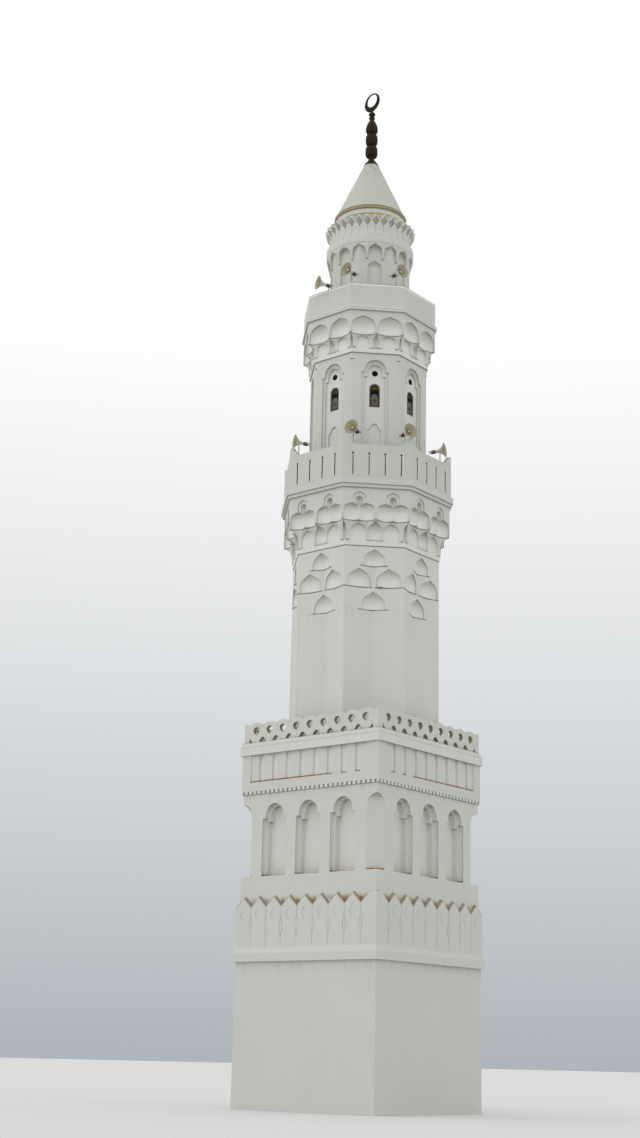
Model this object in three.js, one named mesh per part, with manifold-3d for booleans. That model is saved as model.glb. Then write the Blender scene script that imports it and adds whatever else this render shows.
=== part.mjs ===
// A white painted masonry minaret: square base, octagonal shaft, two balconies, drum, cone and finial.
// Millimetres, +Z up. The origin is the centre of the square plan at ground level.
// Front is -Y and right is +X. Every storey is hollow, with a stairwell up its middle.
// Sizes of the octagon are apothems: from the axis to the middle of a flat side.

import * as THREE from 'three';
import { mergeVertices } from 'three/addons/utils/BufferGeometryUtils.js';
import Module from 'manifold-3d';

const wasm = await Module();
wasm.setup();

// Plan
const EIGHTH = Math.PI / 4;
const HALF_SIDE = Math.tan(Math.PI / 8);     // half a side of the octagon, for an apothem of 1
const CORNER = 1 / Math.cos(Math.PI / 8);    // its corner radius, for an apothem of 1
const SEAM = 0.3;                            // gap between pieces that meet on a turned face
const REACH = 60;                            // how far a cutter passes clear of what it cuts
const SIDES = ['front', 'right', 'rear', 'left'];

// Heights of the square base, from the ground up
const FLOOR_THICK = 150;
const LEDGE_BOTTOM = 4540;
const LEDGE_EDGE = 4800;
const LEDGE_TOP = 4975;
const ZIGZAG_VALLEY = 6270;
const ZIGZAG_PEAK = 6590;
const NICHE_SILL = 7265;
const NICHE_APEX = 9627;
const OUTER_IMPOST = 9140;
const INNER_IMPOST = 9045;
const CORNER_SPRING = 9235;
const CORNER_APEX = 9642;
const DENTIL_BOTTOM = 9955;
const FRIEZE_BOTTOM = 10060;
const PANEL_BOTTOM = 10365;
const CORNICE_BOTTOM = 11280;
const CORNICE_SHELF = 11550;
const TERRACE_TOP = 11700;
const CRESTING_TOP = 12396;

// Half widths of the square base
const BASE_INSIDE = 2150;
const LOWER_WALL = 2860;
const LEDGE_OUT = 2960;
const LEDGE_BACK = 2902;
const ZIGZAG_FACE = 2900;
const ARCADE_WALL = 2802;
const DENTIL_BACK = 2812;
const FRIEZE_WALL = 2861;
const PANEL_WALL = 2831;
const GROOVE_WALL = 2771;
const CORNICE_BAND = 2925;
const CORNICE_FILLET = 2888;
const TERRACE_EDGE = 2690;
const CRESTING_FACE = 2834;
const CRESTING_THICK = 140;

// Doorways
const DOOR_WIDTH = 1000;
const DOOR_HEIGHT = 2200;
const LOWER_BALCONY_DOOR = [800, 2100];
const UPPER_BALCONY_DOOR = [700, 1900];

// Repeats on the square base
const TOOTH_PITCH = 645;
const TEETH_A_SIDE = 8;
const FIRST_TOOTH = 20;
const NICHE_PITCH = 1430;
const NICHE_HALF = 500;
const ARCH_INSET = 120;        // the arch springs this far inside the jamb
const ORDER_STEP = 72;
const OUTER_DEPTH = 180;
const INNER_DEPTH = 195;
const CORNER_CUT = 446;
const GROOVE_WIDTH = 220;
const PANEL_HALF = 2485;

// Pierced parapet
const CREST_PITCH = 579;
const CRESTS_A_SIDE = 9;
const SCALLOP_RISE = 122;
const POST_RISE = 14;
const DROP_TOP = 12235;
const DROP_WIDEST = 12118;
const DROP_POINT = 11950;
const DROP_HALF = 116;
const DROP_SHOULDER = 28;
const FOOT_HALF = 132;
const FOOT_APEX = 11880;

// Pointed arches: the shoulder as shares of the half width and the rise, and how far up the jamb's curve pulls
const SOFT = [0.56, 0.78, 0.6];
const POINTED = [0.68, 0.6, 0.4];
const GABLE = [0.82, 0.36, 0.22];

// Octagonal shaft: a star below, a plain octagon above, and three rows of niches between
const SHAFT = 2440;
const SHAFT_INSIDE = 1760;
const STAR_VALLEY = 2105;
const RIB_START = 0.925;
const RIB_FOOT = 0.91;
const RIB_PROUD = 20;
const ROW_C = 16027;
const ROW_B = 16780;
const ROW_A = 17508;
const SHAFT_TOP = 18178;
const SHELF = 2268;            // face between the slanting planes over row C
const SHELF_HALF = 515;
const FOLD = 2250;             // depth of the fold under row A
const FOLD_HALF = 470;
const SILL_STEP = 22;
const BACK_RISE = 50;          // a shell's back stands this far above its spring
const NICHE_C = {
  style: POINTED, half: 392, spring: 16170, apex: 16635, back: [[0, STAR_VALLEY + SILL_STEP], [-380, 2240], [380, 2240]],
};
const NICHE_B = {
  style: POINTED, centre: 503, half: 405, spring: 17000, apex: 17392,
  back: [[SHELF_HALF, SHELF + SILL_STEP], [110, FOLD + 18], [890, SHAFT - 25]],
};
const NICHE_A = {
  style: POINTED, half: 357, spring: 17680, apex: 18062, back: [[0, FOLD + SILL_STEP], [-340, 2400], [340, 2400]],
};

// Lower balcony and its carved corbel
const CORBEL_RIM = 19025;
const CORBEL_TIP = 2790;
const CORBEL_TOP = 20120;
const LOWER_ROW = {
  wall: 2466, web: 2500, tip: CORBEL_TIP, inside: SHAFT_INSIDE, low: SHAFT_TOP, foot: 18365, rim: CORBEL_RIM,
  hollows: [[0.09, 2645], [0.3, 2535], [0.7, 2535], [0.91, 2645]],
  flare: [[0, 0], [0.45, 0.1], [0.8, 0.5], [1, 1]], panel: [557, 283, 18575, 18950], middle: 245, corner: 62,
};
const LOWER_SHELL = { style: GABLE, half: 258, spring: 19385, apex: 19575 };
const LOWER_SHELL_BACKS = [
  [324, [[92, 2665], [300, 2540], [580, 2590]]], [834, [[576, 2590], [855, 2540], [1063, 2665]]],
];
const PANEL = { centre: 574, opening: [232, 19530, 19775, 20000], depth: 42 };
const BOWL = { half: 121, foot: 19500, apex: 19838, backHalf: 100, middle: 120, edge: 60 };
const BEVEL = 34;              // half the width of a panel's sloping edge
const BALCONY_LIP = 2860;
const BALCONY_NOSE = 2912;
const BALCONY_EDGE = 20236;
const BALCONY_FLOOR = 20447;
const LOWER_PARAPET = 2834;
const LOWER_PARAPET_THICK = 160;
const PARAPET_LOW = 21660;
const PARAPET_HIGH = 21980;
const MERLON_FLAT = 90;
const MERLON_SWEEP = 305;
const SLOT_PITCH = 553;
const SLOTS_A_SIDE = 4;
const SLOT_WIDTH = 45;
const SLOT_HEAD = 76;
const SLOT_BOTTOM = 20575;
const SLOT_TOP = 21370;

// Window tier
const TIER_WALL = 2010;
const TIER_INSIDE = 1660;
const TIER_TOP = 25400;
const STRING_TOP = 25455;
const STRING_WALL = 2056;
const ARRIS_CUT = 62;
const ARRIS_TOP = 25160;
const SLIT_HALF = 186;
const SLIT_BOTTOM = 23410;
const SLIT_TOP = 24290;
const OCULUS_Z = 24675;
const OCULUS_R = 112;
const FRAME_DEPTH = 55;
const OUTER_FRAME = [470, 24700, 378, 25153];
const INNER_FRAME = [372, 24540, 262, 24985];
const BLIND_HALF = 238;
const BLIND_TOP = 22530;
const BLIND_LOBE = [[238, 0], [226, 38], [178, 76], [138, 122], [121, 180], [94, 232], [50, 262], [0, 272]];
const BLIND_DEPTH = 45;

// Upper balcony and drum
const UPPER_RIM = 26060;
const UPPER_TIP = 2290;
const UPPER_ROW = {
  wall: 2050, web: 2082, tip: UPPER_TIP, inside: TIER_INSIDE, low: STRING_TOP, foot: 25575, rim: UPPER_RIM,
  hollows: [[0.1, 2180], [0.32, 2104], [0.68, 2104], [0.9, 2180]],
  flare: [[0, 0], [0.6, 0.2], [1, 1]], panel: [462, 214, 25850, 26025], middle: 112, corner: 42,
};
const UPPER_SHELL = { style: SOFT, centre: 471, half: 422, spring: 26270, apex: 26703 };
const UPPER_SHELL_BACK = [[85, 2200], [255, 2130], [455, 2108], [690, 2130], [860, 2200]];
const UPPER_CORBEL_TOP = 26900;
const UPPER_NOSE = 2353;
const UPPER_NOSE_TOP = 27000;
const UPPER_FLOOR = 27100;
const UPPER_PARAPET = 2293;
const UPPER_PARAPET_THICK = 150;
const UPPER_PARAPET_TOP = 27935;
const DRUM = 1400;
const DRUM_INSIDE = 1100;
const DRUM_NICHE_HALF = 248;
const DRUM_NICHE_SPRING = 29050;
const DRUM_NICHE_APEX = 29330;
const ARCADE_SPRING = 29363;
const ARCADE_APEX = 29915;
const ARCADE_HALF = 252;
const DRUM_FLARE = [[ARCADE_SPRING, 1465], [29520, 1500], [29700, 1550]];
const DRUM_STRING = 29970;
const DRUM_BAND = 1605;
const DRUM_HOLLOW = [[30250, 1605], [30350, 1562], [30470, 1490]];
const TOOTH_FOOT = 30665;
const TOOTH_WALL = 1475;
const TOOTH_VALLEY = 30850;
const TOOTH_VALLEY_R = 1550;
const TOOTH_TIP = 31015;
const TOOTH_TIP_R = 1680;
const TOOTH_LIP = 35;
const STAR_TOP = 31200;
const STAR_POINTS = 32;

// Roof and finial
const NECK_TOP = 31465;
const NECK = 1310;
const EAVE_PROFILE = [[1308, 31465], [1342, 31492], [1342, 31600]];
const CONE_FOOT = 31638;
const CONE_FOOT_R = 1304;
const CONE_TOP = 34000;
const CONE_TOP_R = 240;
const CONE_SHELL = 165;
const CONE_SHELL_TOP = 330;
const CRESCENT_FOOT = 36290;
const CRESCENT_R = 384;
const CRESCENT_HOLE = 254;
const CRESCENT_TOP_WIDTH = 47;
const CRESCENT_THICK = 90;
const CRESCENT_TURN = -6;

// Loudspeakers on poles: [turn of the balcony's side, place along it, direction, pole to mouth, height]
const HORN_SIDES = 10;
const HORN_LENGTH = 480;
const HORN_TILT = 5;
const POLE = 40;
const LOWER_HORNS = [
  [0, -857, -35, 170, 22150], [45, -820, 9, 170, 22240], [45, 950, 74, 330, 22150], [90, 620, 110, 170, 22080],
];
const UPPER_HORNS = [[0, -130, -29, 420, 28150], [45, -915, -5, 300, 28360], [45, 670, 83, 330, 28400]];

const white = new THREE.MeshStandardMaterial({ color: 0xc9ccc6, roughness: 0.85, metalness: 0 });
const offWhite = new THREE.MeshStandardMaterial({ color: 0xc6c5bb, roughness: 0.85, metalness: 0 });
const floorGrey = new THREE.MeshStandardMaterial({ color: 0xa9aaa4, roughness: 0.9, metalness: 0 });
const khaki = new THREE.MeshStandardMaterial({ color: 0x8b8262, roughness: 0.8, metalness: 0 });
const bronze = new THREE.MeshStandardMaterial({ color: 0x3a2f26, roughness: 0.5, metalness: 0.8 });
const cream = new THREE.MeshStandardMaterial({ color: 0xb5ad93, roughness: 0.6, metalness: 0 });

const minaret = new THREE.Group();

// Solids

function solidOf(geometry) {
  const bare = geometry.index ? geometry.toNonIndexed() : geometry.clone();
  bare.deleteAttribute('normal');
  bare.deleteAttribute('uv');
  const merged = mergeVertices(bare, 1e-3);
  const points = merged.attributes.position.array;
  const raw = merged.index.array;
  const kept = [];
  let volume = 0;
  const p = (i) => new THREE.Vector3(points[3 * i], points[3 * i + 1], points[3 * i + 2]);
  for (let i = 0; i < raw.length; i += 3) {
    const [a, b, c] = [raw[i], raw[i + 1], raw[i + 2]];
    if (a === b || b === c || c === a) continue;
    kept.push(a, b, c);
    volume += p(a).dot(p(b).cross(p(c)));
  }
  if (volume < 0) kept.reverse();
  return new wasm.Manifold(new wasm.Mesh({
    numProp: 3, vertProperties: new Float32Array(points), triVerts: new Uint32Array(kept),
  }));
}

function geometryOf(solid) {
  const mesh = solid.getMesh();
  const geometry = new THREE.BufferGeometry();
  geometry.setAttribute('position', new THREE.BufferAttribute(new Float32Array(mesh.vertProperties), 3));
  geometry.setIndex(new THREE.BufferAttribute(new Uint32Array(mesh.triVerts), 1));
  geometry.computeVertexNormals();
  return geometry;
}

function place(name, solid, material, turn = 0) {
  const mesh = new THREE.Mesh(geometryOf(solid), material);
  mesh.name = name;
  mesh.rotation.z = turn;
  minaret.add(mesh);
}

function turned(solid, angle) {
  return solid.rotate([0, 0, THREE.MathUtils.radToDeg(angle)]);
}

// A ring of flat sides, or a turned one: the profile lists [apothem, height] and closes on itself.
function lathed(profile, sides) {
  const stretch = sides < 24 ? 1 / Math.cos(Math.PI / sides) : 1;
  const points = profile.map(([r, z]) => new THREE.Vector2(r * stretch, z));
  if (profile[0][0] > 0) points.push(points[0].clone());
  return solidOf(new THREE.LatheGeometry(points, sides, Math.PI / sides).rotateX(Math.PI / 2));
}

// A plan outline, with an optional hole, raised from one height to another.
function raised(outline, hole, low, high) {
  const shape = new THREE.Shape(outline.map(([x, y]) => new THREE.Vector2(x, y)));
  if (hole) shape.holes.push(new THREE.Path(hole.map(([x, y]) => new THREE.Vector2(x, y))));
  const geometry = new THREE.ExtrudeGeometry(shape, { depth: high - low, bevelEnabled: false });
  return solidOf(geometry.translate(0, 0, low));
}

// An upright shape in x and z, given depth from the plane y = -out inwards.
function upright(shape, out, depth, curveSegments = 6) {
  const geometry = new THREE.ExtrudeGeometry(shape, { depth, bevelEnabled: false, curveSegments });
  return solidOf(geometry.rotateX(Math.PI / 2).translate(0, depth - out, 0));
}

// Rings of as many points, one above another, skinned and closed at both ends.
// The short way across each four-sided panel changes from one to the next.
function lofted(rings) {
  const count = rings[0].length;
  const positions = [];
  const triangle = (...corners) => corners.forEach((corner) => positions.push(...corner));
  for (let j = 0; j + 1 < rings.length; j += 1) {
    for (let i = 0; i < count; i += 1) {
      const next = (i + 1) % count;
      const [a, b, c, d] = [rings[j][i], rings[j][next], rings[j + 1][next], rings[j + 1][i]];
      if (i % 2) {
        triangle(a, b, d);
        triangle(b, c, d);
      } else {
        triangle(a, b, c);
        triangle(a, c, d);
      }
    }
  }
  const last = rings.length - 1;
  const [bottom, top] = [[0, 0, rings[0][0][2]], [0, 0, rings[last][0][2]]];
  for (let i = 0; i < count; i += 1) {
    const next = (i + 1) % count;
    triangle(bottom, rings[0][next], rings[0][i]);
    triangle(top, rings[last][i], rings[last][next]);
  }
  const geometry = new THREE.BufferGeometry();
  geometry.setAttribute('position', new THREE.BufferAttribute(new Float32Array(positions), 3));
  return solidOf(geometry);
}

function polygon(apothem, sides) {
  const radius = apothem / Math.cos(Math.PI / sides);
  return Array.from({ length: sides }, (_, k) => {
    const angle = Math.PI / sides + (2 * Math.PI * k) / sides;
    return [radius * Math.cos(angle), radius * Math.sin(angle)];
  });
}

function box(x0, x1, y0, y1, z0, z1) {
  const geometry = new THREE.BoxGeometry(x1 - x0, y1 - y0, z1 - z0);
  return solidOf(geometry.translate((x0 + x1) / 2, (y0 + y1) / 2, (z0 + z1) / 2));
}

function joined(parts) {
  return parts.reduce((whole, part) => whole.add(part));
}

function without(solid, cutters) {
  return solid.subtract(joined(cutters));
}

function aroundFaces(cutters) {
  return Array.from({ length: 8 }, (_, k) => cutters.map((cutter) => turned(cutter, k * EIGHTH))).flat();
}

// A front wall slab whose ends are mitred to the corners.
function mitredWall(outer, inner, low, high) {
  const gap = SEAM / 2;
  return raised([
    [-outer + gap, -outer], [outer - gap, -outer], [inner - gap, -inner], [-inner + gap, -inner],
  ], null, low, high);
}

// Half a side's plan as [along, out] pairs from the middle to the corner.
// It is mirrored and turned round the octagon.
function octagonPlan(half) {
  const side = [...mirrored(half.slice(1), -1).reverse(), ...half.slice(0, -1)];
  return Array.from({ length: 8 }, (_, k) => side.map(([along, out]) => {
    const [c, s] = [Math.cos(k * EIGHTH), Math.sin(k * EIGHTH)];
    return [along * c + out * s, along * s - out * c];
  })).flat();
}

// Arch outlines, centred on x

function roundArch(centre, half, foot, apex) {
  const shape = new THREE.Shape();
  shape.moveTo(centre - half, foot);
  shape.lineTo(centre + half, foot);
  shape.lineTo(centre + half, apex - half);
  shape.absarc(centre, apex - half, half, 0, Math.PI, false);
  shape.closePath();
  return shape;
}

// A pointed arch in one of the styles named at the top.
function pointedArch([across, up, pull], centre, half, foot, spring, apex) {
  const rise = apex - spring;
  const shape = new THREE.Shape();
  shape.moveTo(centre - half, foot);
  shape.lineTo(centre + half, foot);
  shape.lineTo(centre + half, spring);
  shape.quadraticCurveTo(centre + half, spring + pull * rise, centre + across * half, spring + up * rise);
  shape.lineTo(centre, apex);
  shape.lineTo(centre - across * half, spring + up * rise);
  shape.quadraticCurveTo(centre - half, spring + pull * rise, centre - half, spring);
  shape.closePath();
  return shape;
}

// A wider jamb with an arch on it: [jamb half width, cap height, arch half width, apex].
function cappedArch(centre, foot, [jambHalf, cap, archHalf, apex], out, depth) {
  const jamb = new THREE.Shape();
  jamb.moveTo(centre - jambHalf, foot);
  jamb.lineTo(centre + jambHalf, foot);
  jamb.lineTo(centre + jambHalf, cap);
  jamb.lineTo(centre - jambHalf, cap);
  const head = roundArch(centre, archHalf, foot, apex);
  return [jamb, head].map((shape) => upright(shape, out + REACH, depth + REACH, 4));
}

// A shell cut in from a face: its arch drawn on the face, and the plan of its back up to a height.
// The face is flat, or its distance out is given for each place along it.
function shell(arch, face, back, low, backTop, reach = 2 * REACH, divisions = 3) {
  const points = [];
  arch.getPoints(divisions).forEach(({ x, y: z }) => {
    const out = typeof face === 'number' ? face : face(x);
    points.push([x, -out, z], [x, -out - reach, z]);
  });
  back.forEach(([along, out]) => points.push([along, -out, low], [along, -out, backTop]));
  return wasm.Manifold.hull(points);
}

function shellOf({ style, half, spring, apex }, centre, face, back, low) {
  return shell(pointedArch(style, centre, half, low, spring, apex), face, back, low, spring + BACK_RISE);
}

function mirrored(back, side) {
  return back.map(([along, out]) => [side * along, out]);
}

// Square base

function groundFloor() {
  const edge = BASE_INSIDE - SEAM;
  place('ground_floor', box(-edge, edge, -edge, edge, 0, FLOOR_THICK), floorGrey);
}

function lowerWalls() {
  SIDES.forEach((side, k) => {
    let wall = mitredWall(LOWER_WALL, BASE_INSIDE, 0, LEDGE_BOTTOM);
    if (side === 'rear') {
      const half = DOOR_WIDTH / 2;
      const top = FLOOR_THICK + DOOR_HEIGHT;
      wall = wall.subtract(box(-half, half, -LOWER_WALL - REACH, -BASE_INSIDE + REACH, FLOOR_THICK, top));
    }
    place(`${side}_lower_wall`, wall, white, (k * Math.PI) / 2);
  });
}

function roofLedge() {
  place('roof_ledge', lathed([
    [BASE_INSIDE, LEDGE_BOTTOM], [LEDGE_OUT, LEDGE_BOTTOM], [LEDGE_OUT, LEDGE_EDGE],
    [LEDGE_BACK, LEDGE_TOP], [BASE_INSIDE, LEDGE_TOP],
  ], 4), white);
}

// Teeth stand between a flat corner block and the far corner, where two sides meet at a valley.
function zigzagParapets() {
  const back = ARCADE_WALL + SEAM;
  const face = ZIGZAG_FACE;
  SIDES.forEach((side, k) => {
    const hand = k % 2 ? -1 : 1;
    const start = FIRST_TOOTH - face;
    const blockEdge = start + TEETH_A_SIDE * TOOTH_PITCH;
    const shape = new THREE.Shape();
    shape.moveTo(-hand * face, LEDGE_TOP);
    shape.lineTo(-hand * face, ZIGZAG_VALLEY);
    for (let tooth = 0; tooth < TEETH_A_SIDE; tooth += 1) {
      const foot = start + tooth * TOOTH_PITCH;
      shape.lineTo(hand * (foot + TOOTH_PITCH / 2), ZIGZAG_PEAK);
      shape.lineTo(hand * (foot + TOOTH_PITCH), ZIGZAG_VALLEY);
    }
    shape.lineTo(hand * (blockEdge + TOOTH_PITCH / 2), ZIGZAG_PEAK);
    shape.lineTo(hand * face, ZIGZAG_PEAK);
    shape.lineTo(hand * face, LEDGE_TOP);
    const slab = upright(shape, face, face - back);
    const mitre = mitredWall(face, back, LEDGE_TOP - REACH, ZIGZAG_PEAK + REACH);
    place(`${side}_zigzag_parapet`, slab.intersect(mitre), white, (k * Math.PI) / 2);
  });
}

function nicheOrders(centre) {
  const outer = [NICHE_HALF, OUTER_IMPOST, NICHE_HALF - ARCH_INSET, NICHE_APEX];
  const innerHalf = NICHE_HALF - ORDER_STEP;
  const inner = [innerHalf, INNER_IMPOST, innerHalf - ARCH_INSET, NICHE_APEX - ORDER_STEP];
  return [
    ...cappedArch(centre, NICHE_SILL, outer, ARCADE_WALL, OUTER_DEPTH),
    ...cappedArch(centre, NICHE_SILL, inner, ARCADE_WALL, OUTER_DEPTH + INNER_DEPTH),
  ];
}

// The corner is cut back on the diagonal, under a hood that closes in to the arris.
function cornerNiche() {
  const rise = CORNER_APEX - CORNER_SPRING;
  const steps = 6;
  const points = [new THREE.Vector2(0, NICHE_SILL), new THREE.Vector2(CORNER_CUT, NICHE_SILL)];
  for (let i = 0; i < steps; i += 1) {
    const angle = (i / steps) * (Math.PI / 2);
    points.push(new THREE.Vector2(CORNER_CUT * Math.cos(angle), CORNER_SPRING + rise * Math.sin(angle)));
  }
  points.push(new THREE.Vector2(0, CORNER_APEX));
  const cutter = solidOf(new THREE.LatheGeometry(points, 4, 0).rotateX(Math.PI / 2));
  return cutter.translate([ARCADE_WALL, -ARCADE_WALL, 0]);
}

function arcadeWalls() {
  const niches = [-1, 0, 1].flatMap((bay) => nicheOrders(bay * NICHE_PITCH));
  const corner = cornerNiche();
  const cutters = [...niches, corner, turned(corner, -Math.PI / 2)];
  const wall = without(mitredWall(ARCADE_WALL, BASE_INSIDE, LEDGE_TOP, DENTIL_BOTTOM), cutters);
  SIDES.forEach((side, k) => place(`${side}_arcade_wall`, wall, white, (k * Math.PI) / 2));
}

function square(half) {
  return [[half, -half], [half, half], [-half, half], [-half, -half]];
}

// One side's steps, as [along, out] pairs, repeated round the four sides of a square plan.
function fourSided(steps) {
  return [0, 1, 2, 3].flatMap((k) => steps.map(([along, out]) => {
    const angle = (k * Math.PI) / 2;
    const [c, s] = [Math.round(Math.cos(angle)), Math.round(Math.sin(angle))];
    return [along * c + out * s, along * s - out * c];
  }));
}

function frieze() {
  place('dentil_course', raised(square(DENTIL_BACK), square(BASE_INSIDE), DENTIL_BOTTOM, FRIEZE_BOTTOM), white);
  place('frieze_band', raised(square(FRIEZE_WALL), square(BASE_INSIDE), FRIEZE_BOTTOM, PANEL_BOTTOM), white);
  const steps = [[-FRIEZE_WALL, FRIEZE_WALL], [-PANEL_HALF, FRIEZE_WALL], [-PANEL_HALF, PANEL_WALL]];
  for (let k = 0; k < CRESTS_A_SIDE - 1; k += 1) {
    const centre = (k - (CRESTS_A_SIDE - 2) / 2) * CREST_PITCH;
    steps.push([centre - GROOVE_WIDTH / 2, PANEL_WALL], [centre - GROOVE_WIDTH / 2, GROOVE_WALL]);
    steps.push([centre + GROOVE_WIDTH / 2, GROOVE_WALL], [centre + GROOVE_WIDTH / 2, PANEL_WALL]);
  }
  steps.push([PANEL_HALF, PANEL_WALL], [PANEL_HALF, FRIEZE_WALL]);
  place('ribbed_frieze', raised(fourSided(steps), square(BASE_INSIDE), PANEL_BOTTOM, CORNICE_BOTTOM), white);
}

function baseCornice() {
  place('base_cornice', lathed([
    [BASE_INSIDE, CORNICE_BOTTOM], [CORNICE_BAND, CORNICE_BOTTOM], [CORNICE_BAND, CORNICE_SHELF],
    [CORNICE_FILLET, CORNICE_SHELF], [CORNICE_FILLET, TERRACE_TOP], [TERRACE_EDGE + SEAM, TERRACE_TOP],
    [TERRACE_EDGE + SEAM, CORNICE_SHELF], [BASE_INSIDE, CORNICE_SHELF],
  ], 4), white);
  const floor = raised(square(TERRACE_EDGE), polygon(SHAFT_INSIDE, 8), CORNICE_SHELF, TERRACE_TOP);
  place('terrace_floor', floor, floorGrey);
}

function crestingOutline() {
  const half = CREST_PITCH / 2;
  const valley = CRESTING_TOP - SCALLOP_RISE;
  const postTop = CRESTING_TOP + POST_RISE;
  const shape = new THREE.Shape();
  shape.moveTo(-CRESTING_FACE, TERRACE_TOP);
  shape.lineTo(CRESTING_FACE, TERRACE_TOP);
  shape.lineTo(CRESTING_FACE, postTop);
  shape.lineTo(CRESTS_A_SIDE * half, valley);
  const radius = (half * half + SCALLOP_RISE * SCALLOP_RISE) / (2 * SCALLOP_RISE);
  const sweep = Math.asin(half / radius);
  const centres = Array.from({ length: CRESTS_A_SIDE }, (_, k) => ((CRESTS_A_SIDE - 1) / 2 - k) * CREST_PITCH);
  centres.forEach((x) => {
    shape.absarc(x, CRESTING_TOP - radius, radius, Math.PI / 2 - sweep, Math.PI / 2 + sweep, false);
  });
  shape.lineTo(-CRESTING_FACE, postTop);
  shape.closePath();
  centres.forEach((x) => {
    const drop = new THREE.Path();
    drop.moveTo(x, DROP_TOP);
    drop.quadraticCurveTo(x + DROP_HALF, DROP_TOP - DROP_SHOULDER, x + DROP_HALF, DROP_WIDEST);
    drop.lineTo(x, DROP_POINT);
    drop.lineTo(x - DROP_HALF, DROP_WIDEST);
    drop.quadraticCurveTo(x - DROP_HALF, DROP_TOP - DROP_SHOULDER, x, DROP_TOP);
    shape.holes.push(drop);
  });
  return shape;
}

function footOpening(centre) {
  const kneeZ = TERRACE_TOP + 30;
  const shape = new THREE.Shape();
  shape.moveTo(centre - FOOT_HALF, TERRACE_TOP - REACH);
  shape.lineTo(centre + FOOT_HALF, TERRACE_TOP - REACH);
  shape.lineTo(centre + FOOT_HALF, kneeZ);
  shape.lineTo(centre, FOOT_APEX);
  shape.lineTo(centre - FOOT_HALF, kneeZ);
  shape.closePath();
  return upright(shape, CRESTING_FACE + REACH, CRESTING_THICK + 2 * REACH);
}

function piercedParapets() {
  const back = CRESTING_FACE - CRESTING_THICK;
  const slab = upright(crestingOutline(), CRESTING_FACE, CRESTING_THICK, 3);
  const feet = Array.from({ length: CRESTS_A_SIDE - 1 }, (_, k) => (
    footOpening((k - (CRESTS_A_SIDE - 2) / 2) * CREST_PITCH)));
  const mitre = mitredWall(CRESTING_FACE + 1, back - 1, TERRACE_TOP - REACH, CRESTING_TOP + REACH);
  const wall = without(slab, feet).intersect(mitre);
  SIDES.forEach((side, k) => place(`${side}_pierced_parapet`, wall, white, (k * Math.PI) / 2));
}

// Octagonal shaft

function shaft() {
  const inside = polygon(SHAFT_INSIDE, 8);
  const corner = SHAFT * HALF_SIDE;
  const ribbed = octagonPlan([
    [0, STAR_VALLEY], [corner * RIB_FOOT, SHAFT - RIB_PROUD], [corner * RIB_START, SHAFT], [corner, SHAFT],
  ]);
  place('folded_shaft', raised(ribbed, inside, TERRACE_TOP, ROW_C), white);

  const tiers = [
    raised(octagonPlan([[0, SHELF], [SHELF_HALF, SHELF], [corner, SHAFT]]), inside, ROW_C, ROW_B),
    raised(octagonPlan([[0, FOLD], [FOLD_HALF, SHAFT], [corner, SHAFT]]), inside, ROW_B, ROW_A),
    raised(polygon(SHAFT, 8), inside, ROW_A, SHAFT_TOP),
  ];
  const slant = (along) => Math.min(SHAFT, FOLD + ((SHAFT - FOLD) * Math.abs(along)) / FOLD_HALF);
  const rowC = shellOf(NICHE_C, 0, SHELF, NICHE_C.back, ROW_C);
  const rowA = shellOf(NICHE_A, 0, SHAFT, NICHE_A.back, ROW_A);
  const rowB = [-1, 1].map((side) => (
    shellOf(NICHE_B, side * NICHE_B.centre, slant, mirrored(NICHE_B.back, side), ROW_B)));
  place('niche_shaft', without(joined(tiers), aroundFaces([rowA, ...rowB, rowC])), white);
}

// The web of a corbel's bottom row runs up from its wall to sixteen tips.
// They stand at the corners and the middles of the faces.
function webRing(row, share, z) {
  const blend = (out) => row.web + (out - row.web) * share;
  const corner = blend(row.tip) * HALF_SIDE;
  const hollows = row.hollows.map(([part, out]) => [part * corner, blend(out)]);
  return octagonPlan([[0, blend(row.tip)], ...hollows, [corner, blend(row.tip)]]).map(([x, y]) => [x, y, z]);
}

// The squinch under a tip, cut to a fold behind the wall.
function squinch(row, half, wall, depth) {
  const rise = row.rim - row.foot;
  const [spring, apex] = [row.foot + rise * 0.5, row.rim - rise * 0.05];
  const shoulder = wall - 12;
  const back = [[0, wall - depth], [half, shoulder], [-half, shoulder]];
  const arch = pointedArch(POINTED, 0, half, row.foot, spring, apex);
  return shell(arch, wall, back, row.foot, spring, row.tip / 4, 2);
}

function corbelBottomRow(row) {
  const rise = row.rim - row.foot;
  const web = lofted(row.flare.map(([up, share]) => webRing(row, share, row.foot + up * rise)));
  const [centre, half, spring, apex] = row.panel;
  const panels = [-1, 1].map((side) => {
    const arch = pointedArch(SOFT, side * centre, half, row.foot - REACH, spring, apex);
    return upright(arch, row.tip + REACH, row.tip + REACH - row.wall, 2);
  });
  const middle = squinch(row, row.middle, row.wall, 150);
  const corner = squinch(row, row.corner, row.wall * CORNER - row.corner * HALF_SIDE, 90);
  const block = raised(polygon(row.wall, 8), null, row.low, row.rim).add(without(web, aroundFaces(panels)));
  const well = raised(polygon(row.inside, 8), null, row.low - REACH, row.rim + REACH);
  return without(block, [...aroundFaces([middle, turned(corner, EIGHTH / 2)]), well]);
}

// A recess whose edge slopes back from its outline on a face to a smaller one behind.
function bevelled(style, centre, [half, foot, spring, apex], face, depth) {
  const points = [];
  const outline = (grow) => pointedArch(style, centre, half + grow, foot - grow, spring, apex + grow * 1.2);
  const [front, behind] = [outline(BEVEL), outline(-BEVEL)];
  front.getPoints(2).forEach(({ x, y: z }) => points.push([x, -face - depth, z]));
  behind.getPoints(2).forEach(({ x, y: z }) => points.push([x, -face + depth, z]));
  return wasm.Manifold.hull(points);
}

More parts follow.
